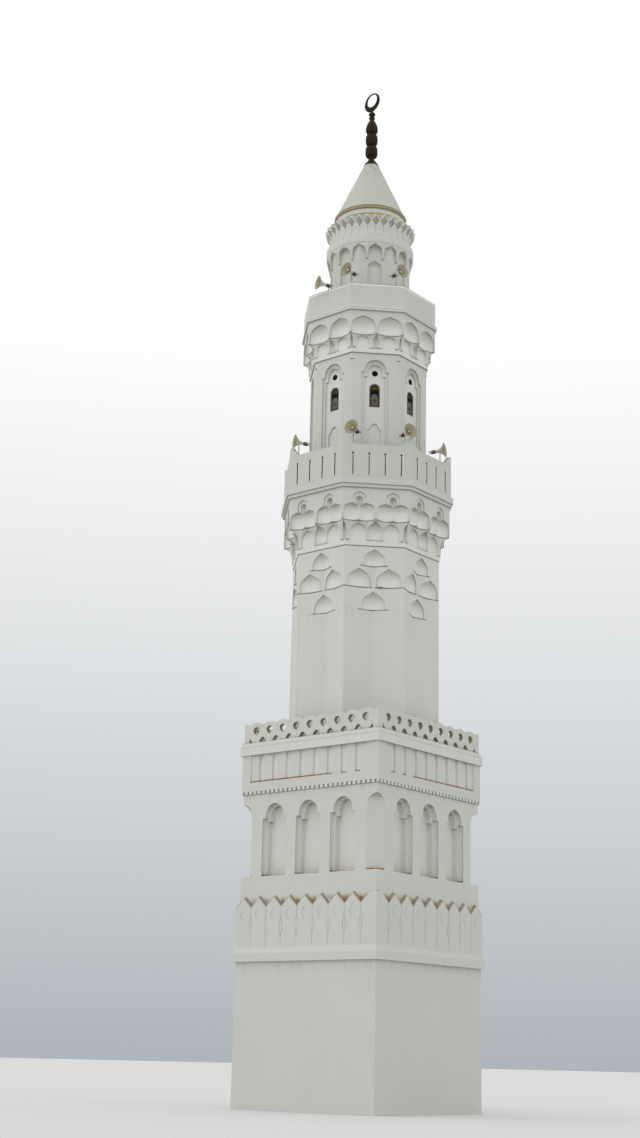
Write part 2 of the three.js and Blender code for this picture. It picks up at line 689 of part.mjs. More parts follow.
function lowerCorbel() {
  place('lower_corbel_bottom_row', corbelBottomRow(LOWER_ROW), white);

  const { half, foot, apex, backHalf } = BOWL;
  const bowlEdge = CORBEL_TIP - BOWL.edge;
  const bowlBack = [[0, CORBEL_TIP - BOWL.middle], [backHalf, bowlEdge], [-backHalf, bowlEdge]];
  const bowl = shell(roundArch(0, half, foot, apex), CORBEL_TIP, bowlBack, foot + BEVEL, apex - half);
  const cutters = [-1, 1].flatMap((side) => [
    ...LOWER_SHELL_BACKS.map(([centre, back]) => (
      shellOf(LOWER_SHELL, side * centre, CORBEL_TIP, mirrored(back, side), CORBEL_RIM))),
    bevelled(GABLE, side * PANEL.centre, PANEL.opening, CORBEL_TIP, PANEL.depth),
    bowl.translate([side * PANEL.centre, 0, 0]),
  ]);
  const block = raised(polygon(CORBEL_TIP, 8), polygon(SHAFT_INSIDE, 8), CORBEL_RIM, CORBEL_TOP);
  place('lower_corbel_top_row', without(block, aroundFaces(cutters)), white);
}

// A slot with a wider head.
function keyhole(centre) {
  const half = SLOT_WIDTH / 2;
  const head = SLOT_HEAD / 2;
  const shape = new THREE.Shape();
  shape.moveTo(centre - half, SLOT_BOTTOM);
  shape.lineTo(centre + half, SLOT_BOTTOM);
  shape.lineTo(centre + half, SLOT_TOP - 2 * head);
  shape.lineTo(centre + head, SLOT_TOP - head);
  shape.lineTo(centre + half, SLOT_TOP);
  shape.lineTo(centre - half, SLOT_TOP);
  shape.lineTo(centre - head, SLOT_TOP - head);
  shape.lineTo(centre - half, SLOT_TOP - 2 * head);
  shape.closePath();
  return shape;
}

function lowerBalcony() {
  place('lower_balcony_floor', lathed([
    [TIER_INSIDE, CORBEL_TOP], [BALCONY_LIP, CORBEL_TOP], [BALCONY_LIP, BALCONY_EDGE],
    [BALCONY_NOSE, BALCONY_EDGE], [BALCONY_NOSE, BALCONY_FLOOR], [TIER_INSIDE, BALCONY_FLOOR],
  ], 8), white);
  const end = LOWER_PARAPET * HALF_SIDE - MERLON_FLAT;
  const [pull, lift] = [0.6 * MERLON_SWEEP, 0.16 * (PARAPET_HIGH - PARAPET_LOW)];
  const over = PARAPET_HIGH + REACH;
  const dip = new THREE.Shape();
  dip.moveTo(-end, over);
  dip.lineTo(-end, PARAPET_HIGH);
  dip.quadraticCurveTo(-end + pull, PARAPET_LOW + lift, -end + MERLON_SWEEP, PARAPET_LOW);
  dip.lineTo(end - MERLON_SWEEP, PARAPET_LOW);
  dip.quadraticCurveTo(end - pull, PARAPET_LOW + lift, end, PARAPET_HIGH);
  dip.lineTo(end, over);
  dip.closePath();
  const [out, depth] = [LOWER_PARAPET + REACH, LOWER_PARAPET_THICK + 2 * REACH];
  const cutters = [upright(dip, out, depth, 4)];
  for (let slot = 0; slot < SLOTS_A_SIDE; slot += 1) {
    cutters.push(upright(keyhole((slot - (SLOTS_A_SIDE - 1) / 2) * SLOT_PITCH), out, depth));
  }
  const back = LOWER_PARAPET - LOWER_PARAPET_THICK;
  const ring = raised(polygon(LOWER_PARAPET, 8), polygon(back, 8), BALCONY_FLOOR, PARAPET_HIGH);
  const parapet = without(ring, aroundFaces(cutters));
  place('lower_parapet', parapet, white);
  return parapet;
}

// A balcony doorway through the wall at the rear.
function balconyDoor([width, height], wall, inside, floor) {
  const door = box(-width / 2, width / 2, -wall - REACH, -inside + 2 * REACH, floor + SEAM, floor + height);
  return turned(door, Math.PI);
}

// Window tier

function windowTier() {
  const through = TIER_WALL - TIER_INSIDE + 4 * REACH;
  const slit = upright(roundArch(0, SLIT_HALF, SLIT_BOTTOM, SLIT_TOP), TIER_WALL + REACH, through, 4);
  const ring = new THREE.Shape();
  ring.absarc(0, OCULUS_Z, OCULUS_R, 0, 2 * Math.PI, false);
  const oculus = upright(ring, TIER_WALL + REACH, through, 5);
  const frameFoot = BALCONY_FLOOR + REACH;
  const frames = [
    ...cappedArch(0, frameFoot, OUTER_FRAME, TIER_WALL, FRAME_DEPTH),
    ...cappedArch(0, frameFoot, INNER_FRAME, TIER_WALL, 2 * FRAME_DEPTH),
  ];
  const arris = TIER_WALL * CORNER;
  const edge = box(-200, 200, -arris - REACH, -arris + ARRIS_CUT / 2, frameFoot, ARRIS_TOP);
  const strip = turned(edge, EIGHTH / 2);
  const blind = new THREE.Shape([
    [-BLIND_HALF, frameFoot - BLIND_TOP], [BLIND_HALF, frameFoot - BLIND_TOP], ...BLIND_LOBE,
    ...BLIND_LOBE.slice(0, -1).reverse().map(([x, up]) => [-x, up]),
  ].map(([x, up]) => new THREE.Vector2(x, BLIND_TOP + up)));
  const blindDepth = 2 * FRAME_DEPTH + BLIND_DEPTH;
  const blindCut = upright(blind, TIER_WALL + REACH, REACH + blindDepth);
  const wall = raised(polygon(TIER_WALL, 8), polygon(TIER_INSIDE, 8), BALCONY_FLOOR, TIER_TOP);
  const cutters = aroundFaces([slit, oculus, strip, blindCut, ...frames]);
  cutters.push(balconyDoor(LOWER_BALCONY_DOOR, TIER_WALL, TIER_INSIDE, BALCONY_FLOOR));
  place('window_tier', without(wall, cutters), white);
}

function upperBalcony() {
  const string = raised(polygon(STRING_WALL, 8), polygon(TIER_INSIDE, 8), TIER_TOP, STRING_TOP);
  place('upper_corbel_bottom_row', string.add(corbelBottomRow(UPPER_ROW)), white);

  const cutters = [-1, 1].map((side) => (
    shellOf(UPPER_SHELL, side * UPPER_SHELL.centre, UPPER_TIP, mirrored(UPPER_SHELL_BACK, side), UPPER_RIM)));
  const block = raised(polygon(UPPER_TIP, 8), polygon(TIER_INSIDE, 8), UPPER_RIM, UPPER_CORBEL_TOP);
  place('upper_corbel_top_row', without(block, aroundFaces(cutters)), white);

  place('upper_balcony_floor', lathed([
    [DRUM_INSIDE, UPPER_CORBEL_TOP], [UPPER_NOSE, UPPER_CORBEL_TOP], [UPPER_NOSE, UPPER_NOSE_TOP],
    [UPPER_PARAPET, UPPER_FLOOR], [DRUM_INSIDE, UPPER_FLOOR],
  ], 8), white);
  const inner = polygon(UPPER_PARAPET - UPPER_PARAPET_THICK, 8);
  const parapet = raised(polygon(UPPER_PARAPET, 8), inner, UPPER_FLOOR, UPPER_PARAPET_TOP);
  place('upper_parapet', parapet, white);
  return parapet;
}

function circle(radius, low) {
  return Array.from({ length: STAR_POINTS }, (_, k) => {
    const angle = (2 * Math.PI * k) / STAR_POINTS;
    return [radius * Math.cos(angle), radius * Math.sin(angle), low];
  });
}

function drum() {
  const niche = pointedArch(POINTED, 0, DRUM_NICHE_HALF, UPPER_FLOOR + REACH, DRUM_NICHE_SPRING, DRUM_NICHE_APEX);
  const back = [[0, DRUM - 90], [DRUM_NICHE_HALF - 8, DRUM - 30], [-DRUM_NICHE_HALF + 8, DRUM - 30]];
  const cutters = aroundFaces([shell(niche, DRUM, back, UPPER_FLOOR + REACH, DRUM_NICHE_SPRING)]);
  cutters.push(balconyDoor(UPPER_BALCONY_DOOR, DRUM, DRUM_INSIDE, UPPER_FLOOR));
  const wall = raised(polygon(DRUM, 8), polygon(DRUM_INSIDE, 8), UPPER_FLOOR, ARCADE_SPRING);
  place('drum_wall', without(wall, cutters), white);

  const flare = [...DRUM_FLARE, [DRUM_STRING, DRUM_BAND], ...DRUM_HOLLOW, [TOOTH_FOOT, TOOTH_WALL]];
  const web = lofted(flare.map(([z, r]) => circle(r, z)));
  const outline = pointedArch(POINTED, 0, ARCADE_HALF, ARCADE_SPRING - REACH, ARCADE_SPRING + 200, ARCADE_APEX);
  const arch = upright(outline, DRUM_BAND + REACH, 3 * REACH + 250, 2);
  const openings = aroundFaces([arch, turned(arch, EIGHTH / 2)]);
  const core = raised(polygon(DRUM, 8), null, ARCADE_SPRING, TOOTH_FOOT);
  const well = raised(polygon(DRUM_INSIDE, 8), null, ARCADE_SPRING - REACH, TOOTH_FOOT + REACH);
  place('drum_band', without(web, openings).add(core).subtract(well), white);
}

// Each tooth is a kite that leans out from its foot to its tip, under a narrow lip.
// The roof falls in behind it.
function starCornice() {
  const ring = (tipR, tipZ, valleyR, valleyZ) => Array.from({ length: 2 * STAR_POINTS }, (_, k) => {
    const [r, z] = k % 2 ? [valleyR, valleyZ] : [tipR, tipZ];
    const angle = (Math.PI * k) / STAR_POINTS;
    return [r * Math.cos(angle), r * Math.sin(angle), z];
  });
  const star = lofted([
    ring(TOOTH_WALL, TOOTH_FOOT, TOOTH_WALL, TOOTH_FOOT),
    ring(TOOTH_TIP_R, TOOTH_TIP, TOOTH_VALLEY_R, TOOTH_VALLEY),
    ring(TOOTH_TIP_R, TOOTH_TIP + TOOTH_LIP, TOOTH_VALLEY_R, TOOTH_VALLEY + TOOTH_LIP),
    ring(NECK + 15, STAR_TOP, NECK + 15, STAR_TOP),
  ]);
  const well = raised(polygon(DRUM_INSIDE, 8), null, TOOTH_FOOT - REACH, STAR_TOP + REACH);
  place('star_cornice', star.subtract(well), white);
  place('neck_ring', lathed([
    [DRUM_INSIDE, STAR_TOP], [NECK, STAR_TOP], [NECK, NECK_TOP], [DRUM_INSIDE, NECK_TOP],
  ], STAR_POINTS), offWhite);
  place('eave_ring', lathed([
    [DRUM_INSIDE, NECK_TOP], ...EAVE_PROFILE, [CONE_FOOT_R, CONE_FOOT], [DRUM_INSIDE, CONE_FOOT],
  ], STAR_POINTS), khaki);
}

function coneRoof() {
  place('cone_roof', lathed([
    [0, CONE_TOP], [CONE_TOP_R, CONE_TOP], [CONE_FOOT_R, CONE_FOOT], [CONE_FOOT_R - CONE_SHELL, CONE_FOOT],
    [0, CONE_TOP - CONE_SHELL_TOP],
  ], STAR_POINTS), offWhite);
}

// Flared foot, two balls, a pear and two beads, as [radius, height above the cone].
const FINIAL = [
  [0, 0], [237, 0], [215, 55], [145, 135], [105, 225], [118, 285],
  [190, 330], [227, 430], [227, 640], [190, 740], [120, 785],
  [190, 850], [224, 945], [224, 1150], [190, 1240], [115, 1295],
  [200, 1360], [226, 1440], [226, 1545], [178, 1720], [98, 1870], [66, 1930],
  [110, 1965], [110, 2008], [62, 2060], [118, 2120], [118, 2185], [60, 2240], [50, 2290], [0, 2290],
];

function finial() {
  place('finial_stem', lathed(FINIAL.map(([r, up]) => [r, CONE_TOP + up]), 12), bronze);
  const centre = CRESCENT_FOOT + CRESCENT_R;
  const ring = new THREE.Shape();
  ring.absarc(0, centre, CRESCENT_R, 0, 2 * Math.PI, false);
  const gap = new THREE.Path();
  gap.absarc(0, centre + CRESCENT_R - CRESCENT_HOLE - CRESCENT_TOP_WIDTH, CRESCENT_HOLE, 0, 2 * Math.PI, false);
  ring.holes.push(gap);
  const flat = upright(ring, CRESCENT_THICK / 2, CRESCENT_THICK, 12);
  const sunk = 4;
  const [foot, top] = [CRESCENT_FOOT + sunk, centre + 2 * CRESCENT_R];
  const seat = box(-CRESCENT_R, CRESCENT_R, -CRESCENT_THICK, CRESCENT_THICK, foot, top);
  const crescent = flat.intersect(seat).translate([0, 0, -sunk]);
  place('finial_crescent', crescent, bronze, THREE.MathUtils.degToRad(CRESCENT_TURN));
}

// A horn along +Z with its mouth at the origin, and the bullet that shows inside it.
function bell() {
  return lathed([
    [0, -HORN_LENGTH], [70, -HORN_LENGTH], [70, -340], [40, -320], [78, -160],
    [235, 0], [222, 0], [66, -140], [44, -75], [0, -60],
  ], HORN_SIDES);
}

function horns(level, seats, parapet, out, foot) {
  seats.forEach(([side, along, direction, behind, height], k) => {
    const turn = THREE.MathUtils.degToRad(side);
    const pole = box(along - POLE / 2, along + POLE / 2, -out - POLE / 2, -out + POLE / 2, foot, height);
    const seat = new THREE.Vector2(along, -out).rotateAround(new THREE.Vector2(), turn);
    const horn = bell().translate([0, 0, behind]).rotate([90 - HORN_TILT, 0, direction]);
    const speaker = turned(pole, turn).add(horn.translate([seat.x, seat.y, height])).subtract(parapet);
    place(`${level}_horn_${k + 1}`, speaker, cream);
  });
}

groundFloor();
lowerWalls();
roofLedge();
zigzagParapets();
arcadeWalls();
frieze();
baseCornice();
piercedParapets();
shaft();
lowerCorbel();
const lowerParapet = lowerBalcony();
windowTier();
const upperParapet = upperBalcony();
drum();
starCornice();
coneRoof();
finial();
horns('lower', LOWER_HORNS, lowerParapet, LOWER_PARAPET - LOWER_PARAPET_THICK / 2, SLOT_TOP + REACH);
horns('upper', UPPER_HORNS, upperParapet, UPPER_PARAPET - UPPER_PARAPET_THICK / 2, UPPER_PARAPET_TOP - REACH);

export default minaret;
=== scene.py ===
"""The looks of a white painted minaret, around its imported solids. Metres, +Z up, front towards -Y."""
import math
from functools import partialmethod

import bmesh
import bpy
import numpy as np
from mathutils import Matrix


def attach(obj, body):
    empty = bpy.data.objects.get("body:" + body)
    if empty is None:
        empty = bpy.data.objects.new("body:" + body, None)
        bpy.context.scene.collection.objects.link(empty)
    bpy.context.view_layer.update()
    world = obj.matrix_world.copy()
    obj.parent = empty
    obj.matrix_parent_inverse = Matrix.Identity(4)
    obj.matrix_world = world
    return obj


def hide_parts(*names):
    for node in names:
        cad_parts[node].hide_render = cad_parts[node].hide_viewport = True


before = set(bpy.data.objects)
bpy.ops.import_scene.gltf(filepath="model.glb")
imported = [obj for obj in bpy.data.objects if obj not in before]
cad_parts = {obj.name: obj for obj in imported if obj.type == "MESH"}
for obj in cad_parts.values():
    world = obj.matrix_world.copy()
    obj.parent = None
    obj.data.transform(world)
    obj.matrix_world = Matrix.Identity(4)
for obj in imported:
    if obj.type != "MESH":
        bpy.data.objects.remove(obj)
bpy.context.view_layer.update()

BODY = "root"
EIGHTH = math.pi / 4
HALF_SIDE = math.tan(math.pi / 8)
SIDES = ("front", "right", "rear", "left")

# Heights
ZIGZAG_FOOT = 4.975
ZIGZAG_VALLEY = 6.27
DENTIL_LOW, DENTIL_HIGH = 9.955, 10.06
PANEL_FOOT = 10.35
TERRACE = 11.70
ROW_C, ROW_B, ROW_A, SHAFT_TOP = 16.027, 16.78, 17.508, 18.178
LOWER_RIM, LOWER_TOP = 19.025, 20.12
UPPER_RIM, UPPER_TOP = 26.06, 26.9
NECK_FOOT, EAVE_FOOT, CONE_FOOT, CONE_TOP = 31.2, 31.465, 31.638, 34.0

# Where arched heads spring from, and where they end: the shaft's niches from the lowest row, and the shells
HEAD_C, HEAD_B, HEAD_A = (16.17, 16.635), (17.0, 17.392), (17.68, 18.062)
UPPER_HEAD = (26.27, 26.703)

# Distances out from the axis to the base's faces, and to its cut-back corners on the diagonal
ARCADE_FACE, CORNER_FACE, FRIEZE_FACE, PARAPET_FACE = 2.802, 3.6475, 2.861, 2.834

# The shaft's plan: distances out to its faces, and places along its sides
SHAFT, SHAFT_INSIDE, SHELF, FOLD = 2.44, 1.76, 2.268, 2.25
SHELF_HALF, FOLD_HALF = 0.515, 0.47
SILL_STEP = 0.022

# The corbels' top rows: distances out to their faces, and the place of the small bowls along a side
LOWER_TIP, UPPER_TIP, BOWL = 2.79, 2.29, 0.574

# The window tier and the drum: distances out to their faces
TIER, TIER_INSIDE, TIER_STEP = 2.01, 1.66, 0.055
DRUM, DRUM_INSIDE = 1.40, 1.10

# The zigzag course: valleys this far apart, counted from the far end, and the rise to a point
TOOTH, FIRST_VALLEY, TOOTH_RISE = 0.645, -2.235, 0.32

# Profiles of the drum's flare and of the hollow band over it, as [out, height], and the cornice's points
DRUM_FLARE = [[1.465, 29.363], [1.50, 29.52], [1.55, 29.70], [1.605, 29.97]]
DRUM_PANEL = [[1.605, 30.25], [1.562, 30.35], [1.49, 30.47], [1.475, 30.665]]
POINTS = 32
KITE_FOOT = 30.655

# Colours, as linear light
WHITE = (0.615, 0.62, 0.575, 1)
# Lighter paint deep in hollows: cleaner, and painted light against their shade
CLEAN_AND_LIT_WHITE = (0.76, 0.76, 0.71, 1)
SHAFT_WHITE = (0.665, 0.67, 0.625, 1)
# Painted light deep in hollows, and a painted highlight on the upper parapet's edge
BRIGHT = (0.95, 0.945, 0.90, 1)
CREAM_WHITE = (0.54, 0.535, 0.475, 1)
# Soiling and painted shade
OLIVE_DIRT_AND_SHADE = (0.21, 0.185, 0.115, 1)
BROWN_DIRT = (0.24, 0.16, 0.072, 1)
OCHRE_DIRT = (0.42, 0.31, 0.14, 1)
HOLE_DIRT = (0.29, 0.215, 0.095, 1)
CORNICE_WHITE = (0.68, 0.685, 0.64, 1)
NICHE_DIRT = (0.27, 0.185, 0.085, 1)
RUST_DIRT = (0.30, 0.175, 0.07, 1)
# Painted shade under the cornice's points
SHADE = (0.34, 0.33, 0.27, 1)
# Painted shade in the dentil course, between the dentils
GAP_SHADE_GREY = (0.30, 0.29, 0.24, 1)
PARAPET_WHITE = (0.60, 0.595, 0.54, 1)
# Lighter than the other whites: the cornice's points keep it as painted highlights on their lips and edges
POINT_WHITE = (0.82, 0.82, 0.78, 1)
# Painted shade inside the slots
DARK = (0.012, 0.011, 0.009, 1)
GREY_DIRT = (0.38, 0.375, 0.33, 1)

# Loudspeakers: balcony side in degrees, place along it, direction, pole to mouth, height
LOWER_HORNS = [(0, -0.857, -35, 0.17, 22.15), (45, -0.82, 9, 0.17, 22.24), (45, 0.95, 74, 0.33, 22.15),
               (90, 0.62, 110, 0.17, 22.08)]
UPPER_HORNS = [(0, -0.13, -29, 0.42, 28.15), (45, -0.915, -5, 0.30, 28.36), (45, 0.67, 83, 0.33, 28.40)]


# Shader nodes

class Value:
    """An output in a material's nodes. Python's operators on a number add the Math nodes."""

    def __init__(self, finish, socket):
        self.finish = finish
        self.socket = socket

    def math(self, operation, *others, first=None):
        """This number in a Math node, in front of the others or behind the first."""
        terms = [self, *others] if first is None else [first, self]
        return self.finish.node("ShaderNodeMath", {"operation": operation}, dict(enumerate(terms)))

    __add__ = __radd__ = partialmethod(math, "ADD")
    __mul__ = __rmul__ = partialmethod(math, "MULTIPLY")
    __sub__ = partialmethod(math, "SUBTRACT")
    __truediv__ = partialmethod(math, "DIVIDE")
    __pow__ = partialmethod(math, "POWER")
    __gt__ = partialmethod(math, "GREATER_THAN")
    __lt__ = partialmethod(math, "LESS_THAN")
    __abs__ = partialmethod(math, "ABSOLUTE")
    most = partialmethod(math, "MAXIMUM")
    least = partialmethod(math, "MINIMUM")

    def __rsub__(self, other):
        return self.math("SUBTRACT", first=other)

    def rise(self, low, high):
        """0 below low, 1 above high, and a smooth step between them."""
        return self.finish.node("ShaderNodeMapRange", {"interpolation_type": "SMOOTHSTEP"},
                                {"Value": self, "From Min": low, "From Max": high})


LOOKS = {}


class Finish:
    """A material on Object coordinates, which are the frame's own metres. LOOKS has it by its name."""

    def __init__(self, name, metallic=0.0, shine=0.5):
        LOOKS[name] = bpy.data.materials.new(name)
        LOOKS[name].use_nodes = True
        self.tree = LOOKS[name].node_tree
        self.shader = self.tree.nodes["Principled BSDF"]
        self.shader.inputs["Metallic"].default_value = metallic
        self.shader.inputs["Specular IOR Level"].default_value = shine
        self.place = self.node("ShaderNodeTexCoord", output="Object")
        self.x, self.y, self.z = (self.part(self.place, k) for k in range(3))

    def node(self, kind, settings=None, inputs=None, output=0):
        """Adds a node. Its settings come first, then each socket gets a value or a link."""
        made = self.tree.nodes.new(kind)
        for key, value in (settings or {}).items():
            setattr(made, key, value)
        for socket, value in (inputs or {}).items():
            self.feed(made.inputs[socket], value)
        return Value(self, made.outputs[output])

    def feed(self, socket, value):
        if isinstance(value, Value):
            self.tree.links.new(value.socket, socket)
        else:
            socket.default_value = value

    def part(self, vector, k):
        """One of a vector's three numbers."""
        return self.node("ShaderNodeSeparateXYZ", None, {0: vector}, k)

    def noise(self, scale, stretch=(1, 1, 1), detail=3.0, roughness=0.55):
        """Noise from about 0.3 to 0.7. A stretch above 1 packs it closer along that axis."""
        place = self.node("ShaderNodeMapping", None, {"Vector": self.place, "Scale": stretch})
        return self.node("ShaderNodeTexNoise", None,
                         {"Vector": place, "Scale": scale, "Detail": detail, "Roughness": roughness})

    def mix(self, factor, first, second):
        """A colour that goes from the first to the second."""
        return self.node("ShaderNodeMix", {"data_type": "RGBA"}, {0: factor, 6: first, 7: second}, 2)

    def out(self, sides):
        """The distance out from the axis to the nearest of so many equal sides, and the place along it."""
        turn = self.y.math("ARCTAN2", self.x)
        part = 2 * math.pi / sides
        folded = turn - (turn / part).math("ROUND") * part
        reach = (self.x * self.x + self.y * self.y) ** 0.5
        return reach * folded.math("COSINE"), reach * folded.math("SINE")

    def square(self):
        """On a square plan: the distance out, and the place along a side. Neighbouring sides are counted
        from the corner between them, or both towards it."""
        wide, deep = abs(self.x), abs(self.y)
        front = deep > wide
        along = 0 - self.x * self.y.math("SIGN") * front - self.y * self.x.math("SIGN") * (1 - front)
        return wide.most(deep), along

    def band(self, low, high, soft=0.004):
        """1 between two heights."""
        return self.z.rise(low - soft, low + soft) * (1 - self.z.rise(high - soft, high + soft))

    def colour(self, value):
        self.feed(self.shader.inputs["Base Color"], value)

    def rough(self, value):
        self.feed(self.shader.inputs["Roughness"], value)

    def bump(self, height, strength, distance):
        inputs = {"Strength": strength, "Distance": distance, "Height": height}
        self.feed(self.shader.inputs["Normal"], self.node("ShaderNodeBump", None, inputs))


def painted(name, tone=WHITE, face=None, edge=0.42, clean=1.0, lit=0.0, crowns=(), runs=(), bands=(),
            lines=None, extra=None, dirt=BROWN_DIRT, holes=None, under=0.6):
    """Painted plaster: faint patches and runs. The edges of hollows darken with soiling and painted shade,
    their crowns and the undersides of ledges with painted shade. Rain doesn't reach the hollows, so their
    paint is cleaner, and painted light makes them lighter still. Crowns and bands are two heights and a
    strength. Runs are a top, a length and a strength."""
    finish = Finish(name)
    patches = finish.noise(0.55, detail=4.0)
    streaks = finish.noise(1.0, (5.5, 5.5, 0.35), 4.0, 0.62)
    specks = finish.specks = finish.noise(7.0, (1, 1, 0.6), 5.0, 0.65)
    colour = finish.mix((patches - 0.4) * 0.22 + (streaks - 0.42) * 0.10, tone, GREY_DIRT)
    finish.facing = finish.part(finish.node("ShaderNodeNewGeometry", output="Normal"), 2)
    # Painted shade: faces turned down are darker, as much as under says.
    grime_and_shade = (0 - finish.facing).rise(0.35, 0.95) * under
    if face is not None:
        out, wall = face(finish)
        depth = finish.depth = wall - out
        # Deeper in a hollow the paint turns lighter: cleaner, and painted light against the shade there.
        colour = finish.mix(depth.rise(0.01, 0.12) * clean, colour, CLEAN_AND_LIT_WHITE)
        # Painted light: the deepest parts lighter still, as much as lit says.
        if lit:
            colour = finish.mix(depth.rise(0.10, 0.24) * lit, colour, BRIGHT)
        # Soiling and painted shade: a dark strip on a hollow's sides, just inside its edge.
        if edge:
            grime_and_shade = grime_and_shade.most(depth.rise(0.002, 0.006) * (1 - depth.rise(0.026, 0.034)) * edge)
        # Painted shade in the crowns of hollows.
        for spring, crown, strength in crowns:
            head = finish.z.rise(spring - 0.10, crown) * (finish.z < crown + 0.012)
            grime_and_shade = grime_and_shade.most(head * depth.rise(0.01, 0.05) * strength)
    for top, length, strength in runs:
        drip = finish.z.rise(top - length, top) * (finish.z < top + 0.002)
        grime_and_shade = grime_and_shade + drip * streaks.rise(0.44, 0.66) * strength
    if lines is not None:
        grime_and_shade = grime_and_shade.most(lines(finish) * (0.7 + specks * 0.3))
    colour = finish.mix((grime_and_shade * (0.6 + specks * 0.9)).least(0.9), colour, OLIVE_DIRT_AND_SHADE)
    # Bands are stains. Extras are stains on most finishes, but a painted highlight on the upper parapet and
    # painted shade on the cornice's points.
    stain_and_painted_light = 0 * specks
    for low, high, strength in bands:
        stain_and_painted_light = stain_and_painted_light + finish.band(low, high, 0.006) * specks.rise(0.40, 0.58) * strength
    if extra is not None:
        stain_and_painted_light = stain_and_painted_light + extra(finish)
    colour = finish.mix(stain_and_painted_light.least(1.0), colour, dirt)
    # Painted shade: the insides of slots near black.
    if holes is not None:
        colour = finish.mix(holes(finish), colour, DARK)
    finish.colour(colour)
    finish.rough(0.62 + specks * 0.25)
    finish.bump(finish.noise(26.0, detail=6.0, roughness=0.6), 0.2, 0.002)


def flat_face(distance):
    """How far out a point is, and where the wall's own face is: the same distance on all eight sides."""
    return lambda finish: (finish.out(8)[0], distance)


def shaft_face(finish):
    """The shaft's face at each height: a shelf, then planes that slant outwards, then a flat side."""
    out, along = finish.out(8)
    slant = (abs(along) * ((SHAFT - FOLD) / FOLD_HALF) + FOLD).least(SHAFT)
    upper = slant + (SHAFT - slant) * (finish.z > ROW_A)
    return out, (upper - SHELF) * (finish.z > ROW_B) + SHELF


def square_face(distance, corner=None):
    """As flat_face, on the square base, whose cut-back corners may have a face of their own."""
    def face(finish):
        out = finish.square()[0]
        if corner is not None:
            diagonal = (abs(finish.x) + abs(finish.y)) * 0.7071
            out = out.most(diagonal + (distance - corner))
        return out, distance
    return face


def plain(name, colour, roughness, metallic=0.0, patch=0.3, scale=14.0, other=None, shine=0.5):
    """A colour with patches of another, or else of a darker tone of its own, and a slight bump."""
    finish = Finish(name, metallic, shine)
    patches = finish.noise(scale, detail=4.0, roughness=0.62)
    second = other or tuple(0.55 * part for part in colour[:3]) + (1,)
    finish.colour(finish.mix(patches.rise(0.38, 0.72) * patch, colour, second))
    finish.rough(roughness + (patches - 0.5) * 0.3)
    finish.bump(patches, 0.2, 0.003)


# Meshes

def linked(name, data):
    """A new object in the scene."""
    made = bpy.data.objects.new(name, data)
    bpy.context.scene.collection.objects.link(made)
    return made


def drawn(name, points, faces):
    """A new object in the scene, with a mesh of its own."""
    mesh = bpy.data.meshes.new(name)
    mesh.from_pydata(np.asarray(points, float).tolist(), [], [list(face) for face in faces])
    return linked(name, mesh)


def piece(name, points, faces, look, slot, replaces=(), sharp=None, groups=None):
    """A visible mesh that rides on the tower. Its edges that turn by more degrees than sharp stay crisp."""
    made = drawn(name, points, faces)
    mesh = made.data
    for each in look if isinstance(look, list) else [look]:
        mesh.materials.append(LOOKS[each])
    if groups is not None:
        mesh.polygons.foreach_set("material_index", np.asarray(groups, np.int32))
    if sharp is not None:
        mesh.polygons.foreach_set("use_smooth", np.ones(len(mesh.polygons), bool))
        mesh.set_sharp_from_angle(angle=math.radians(sharp))
    mesh.validate()
    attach(made, BODY)
    if replaces:
        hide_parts(*replaces)


def merged(node):
    """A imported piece's points and triangles, with points that share a place made one."""
    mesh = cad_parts[node].data
    places = np.empty(len(mesh.vertices) * 3, np.float32)
    mesh.vertices.foreach_get("co", places)
    corners = np.empty(len(mesh.loops), np.int32)
    mesh.loops.foreach_get("vertex_index", corners)
    points, index = np.unique(places.reshape(-1, 3).round(5), axis=0, return_inverse=True)
    faces = index.reshape(-1)[corners].reshape(-1, 3)
    whole = (faces[:, 0] != faces[:, 1]) & (faces[:, 1] != faces[:, 2]) & (faces[:, 2] != faces[:, 0])
    return points, faces[whole]


def grid(rows, columns, wrap_rows=False, wrap_columns=False):
    """Quads between the neighbours of a grid of points, counted row by row."""
    row, column = np.mgrid[0:rows - (not wrap_rows), 0:columns - (not wrap_columns)]
    below, beside = (row + 1) % rows, (column + 1) % columns
    return np.stack([row * columns + column, row * columns + beside,
                     below * columns + beside, below * columns + column], -1).reshape(-1, 4)


def capped(rings):
    """A solid through rings with equally many points, with a face at each end."""
    rows, count = len(rings), len(rings[0])
    first, last = list(range(count)), list(range((rows - 1) * count, rows * count))
    return np.concatenate(rings), [*grid(rows, count, False, True).tolist(), first[::-1], last]


def on_wall(outline, out):
    """An outline of [along, height] at a distance out, on the front."""
    return np.stack([outline[:, 0], np.full(len(outline), -out), outline[:, 1]], -1)


def block(front_outline, back_outline, front, back):
    """A closed solid between an outline of [along, height] in front and another behind."""
    return capped([on_wall(front_outline, front), on_wall(back_outline, back)])


def turned(points, angle):
    """Points turned about the upright axis, in radians."""
    c, s = math.cos(angle), math.sin(angle)
    return np.asarray(points) @ np.array([[c, s, 0], [-s, c, 0], [0, 0, 1]])


def lathe(profile, sides):
    """Each [radius, height] of the profile goes round a full circle. A radius of 0 is a closed pole."""
    profile = np.asarray(profile, float)
    angle = np.linspace(0, 2 * math.pi, sides, endpoint=False)
    radius, height = profile[:, :1], profile[:, 1:]
    points = np.stack([radius * np.cos(angle), radius * np.sin(angle),
                       np.broadcast_to(height, (len(profile), sides))], -1).reshape(-1, 3)
    closed = profile[0, 0] > 0
    return welded(points, grid(len(profile), sides, closed, True))


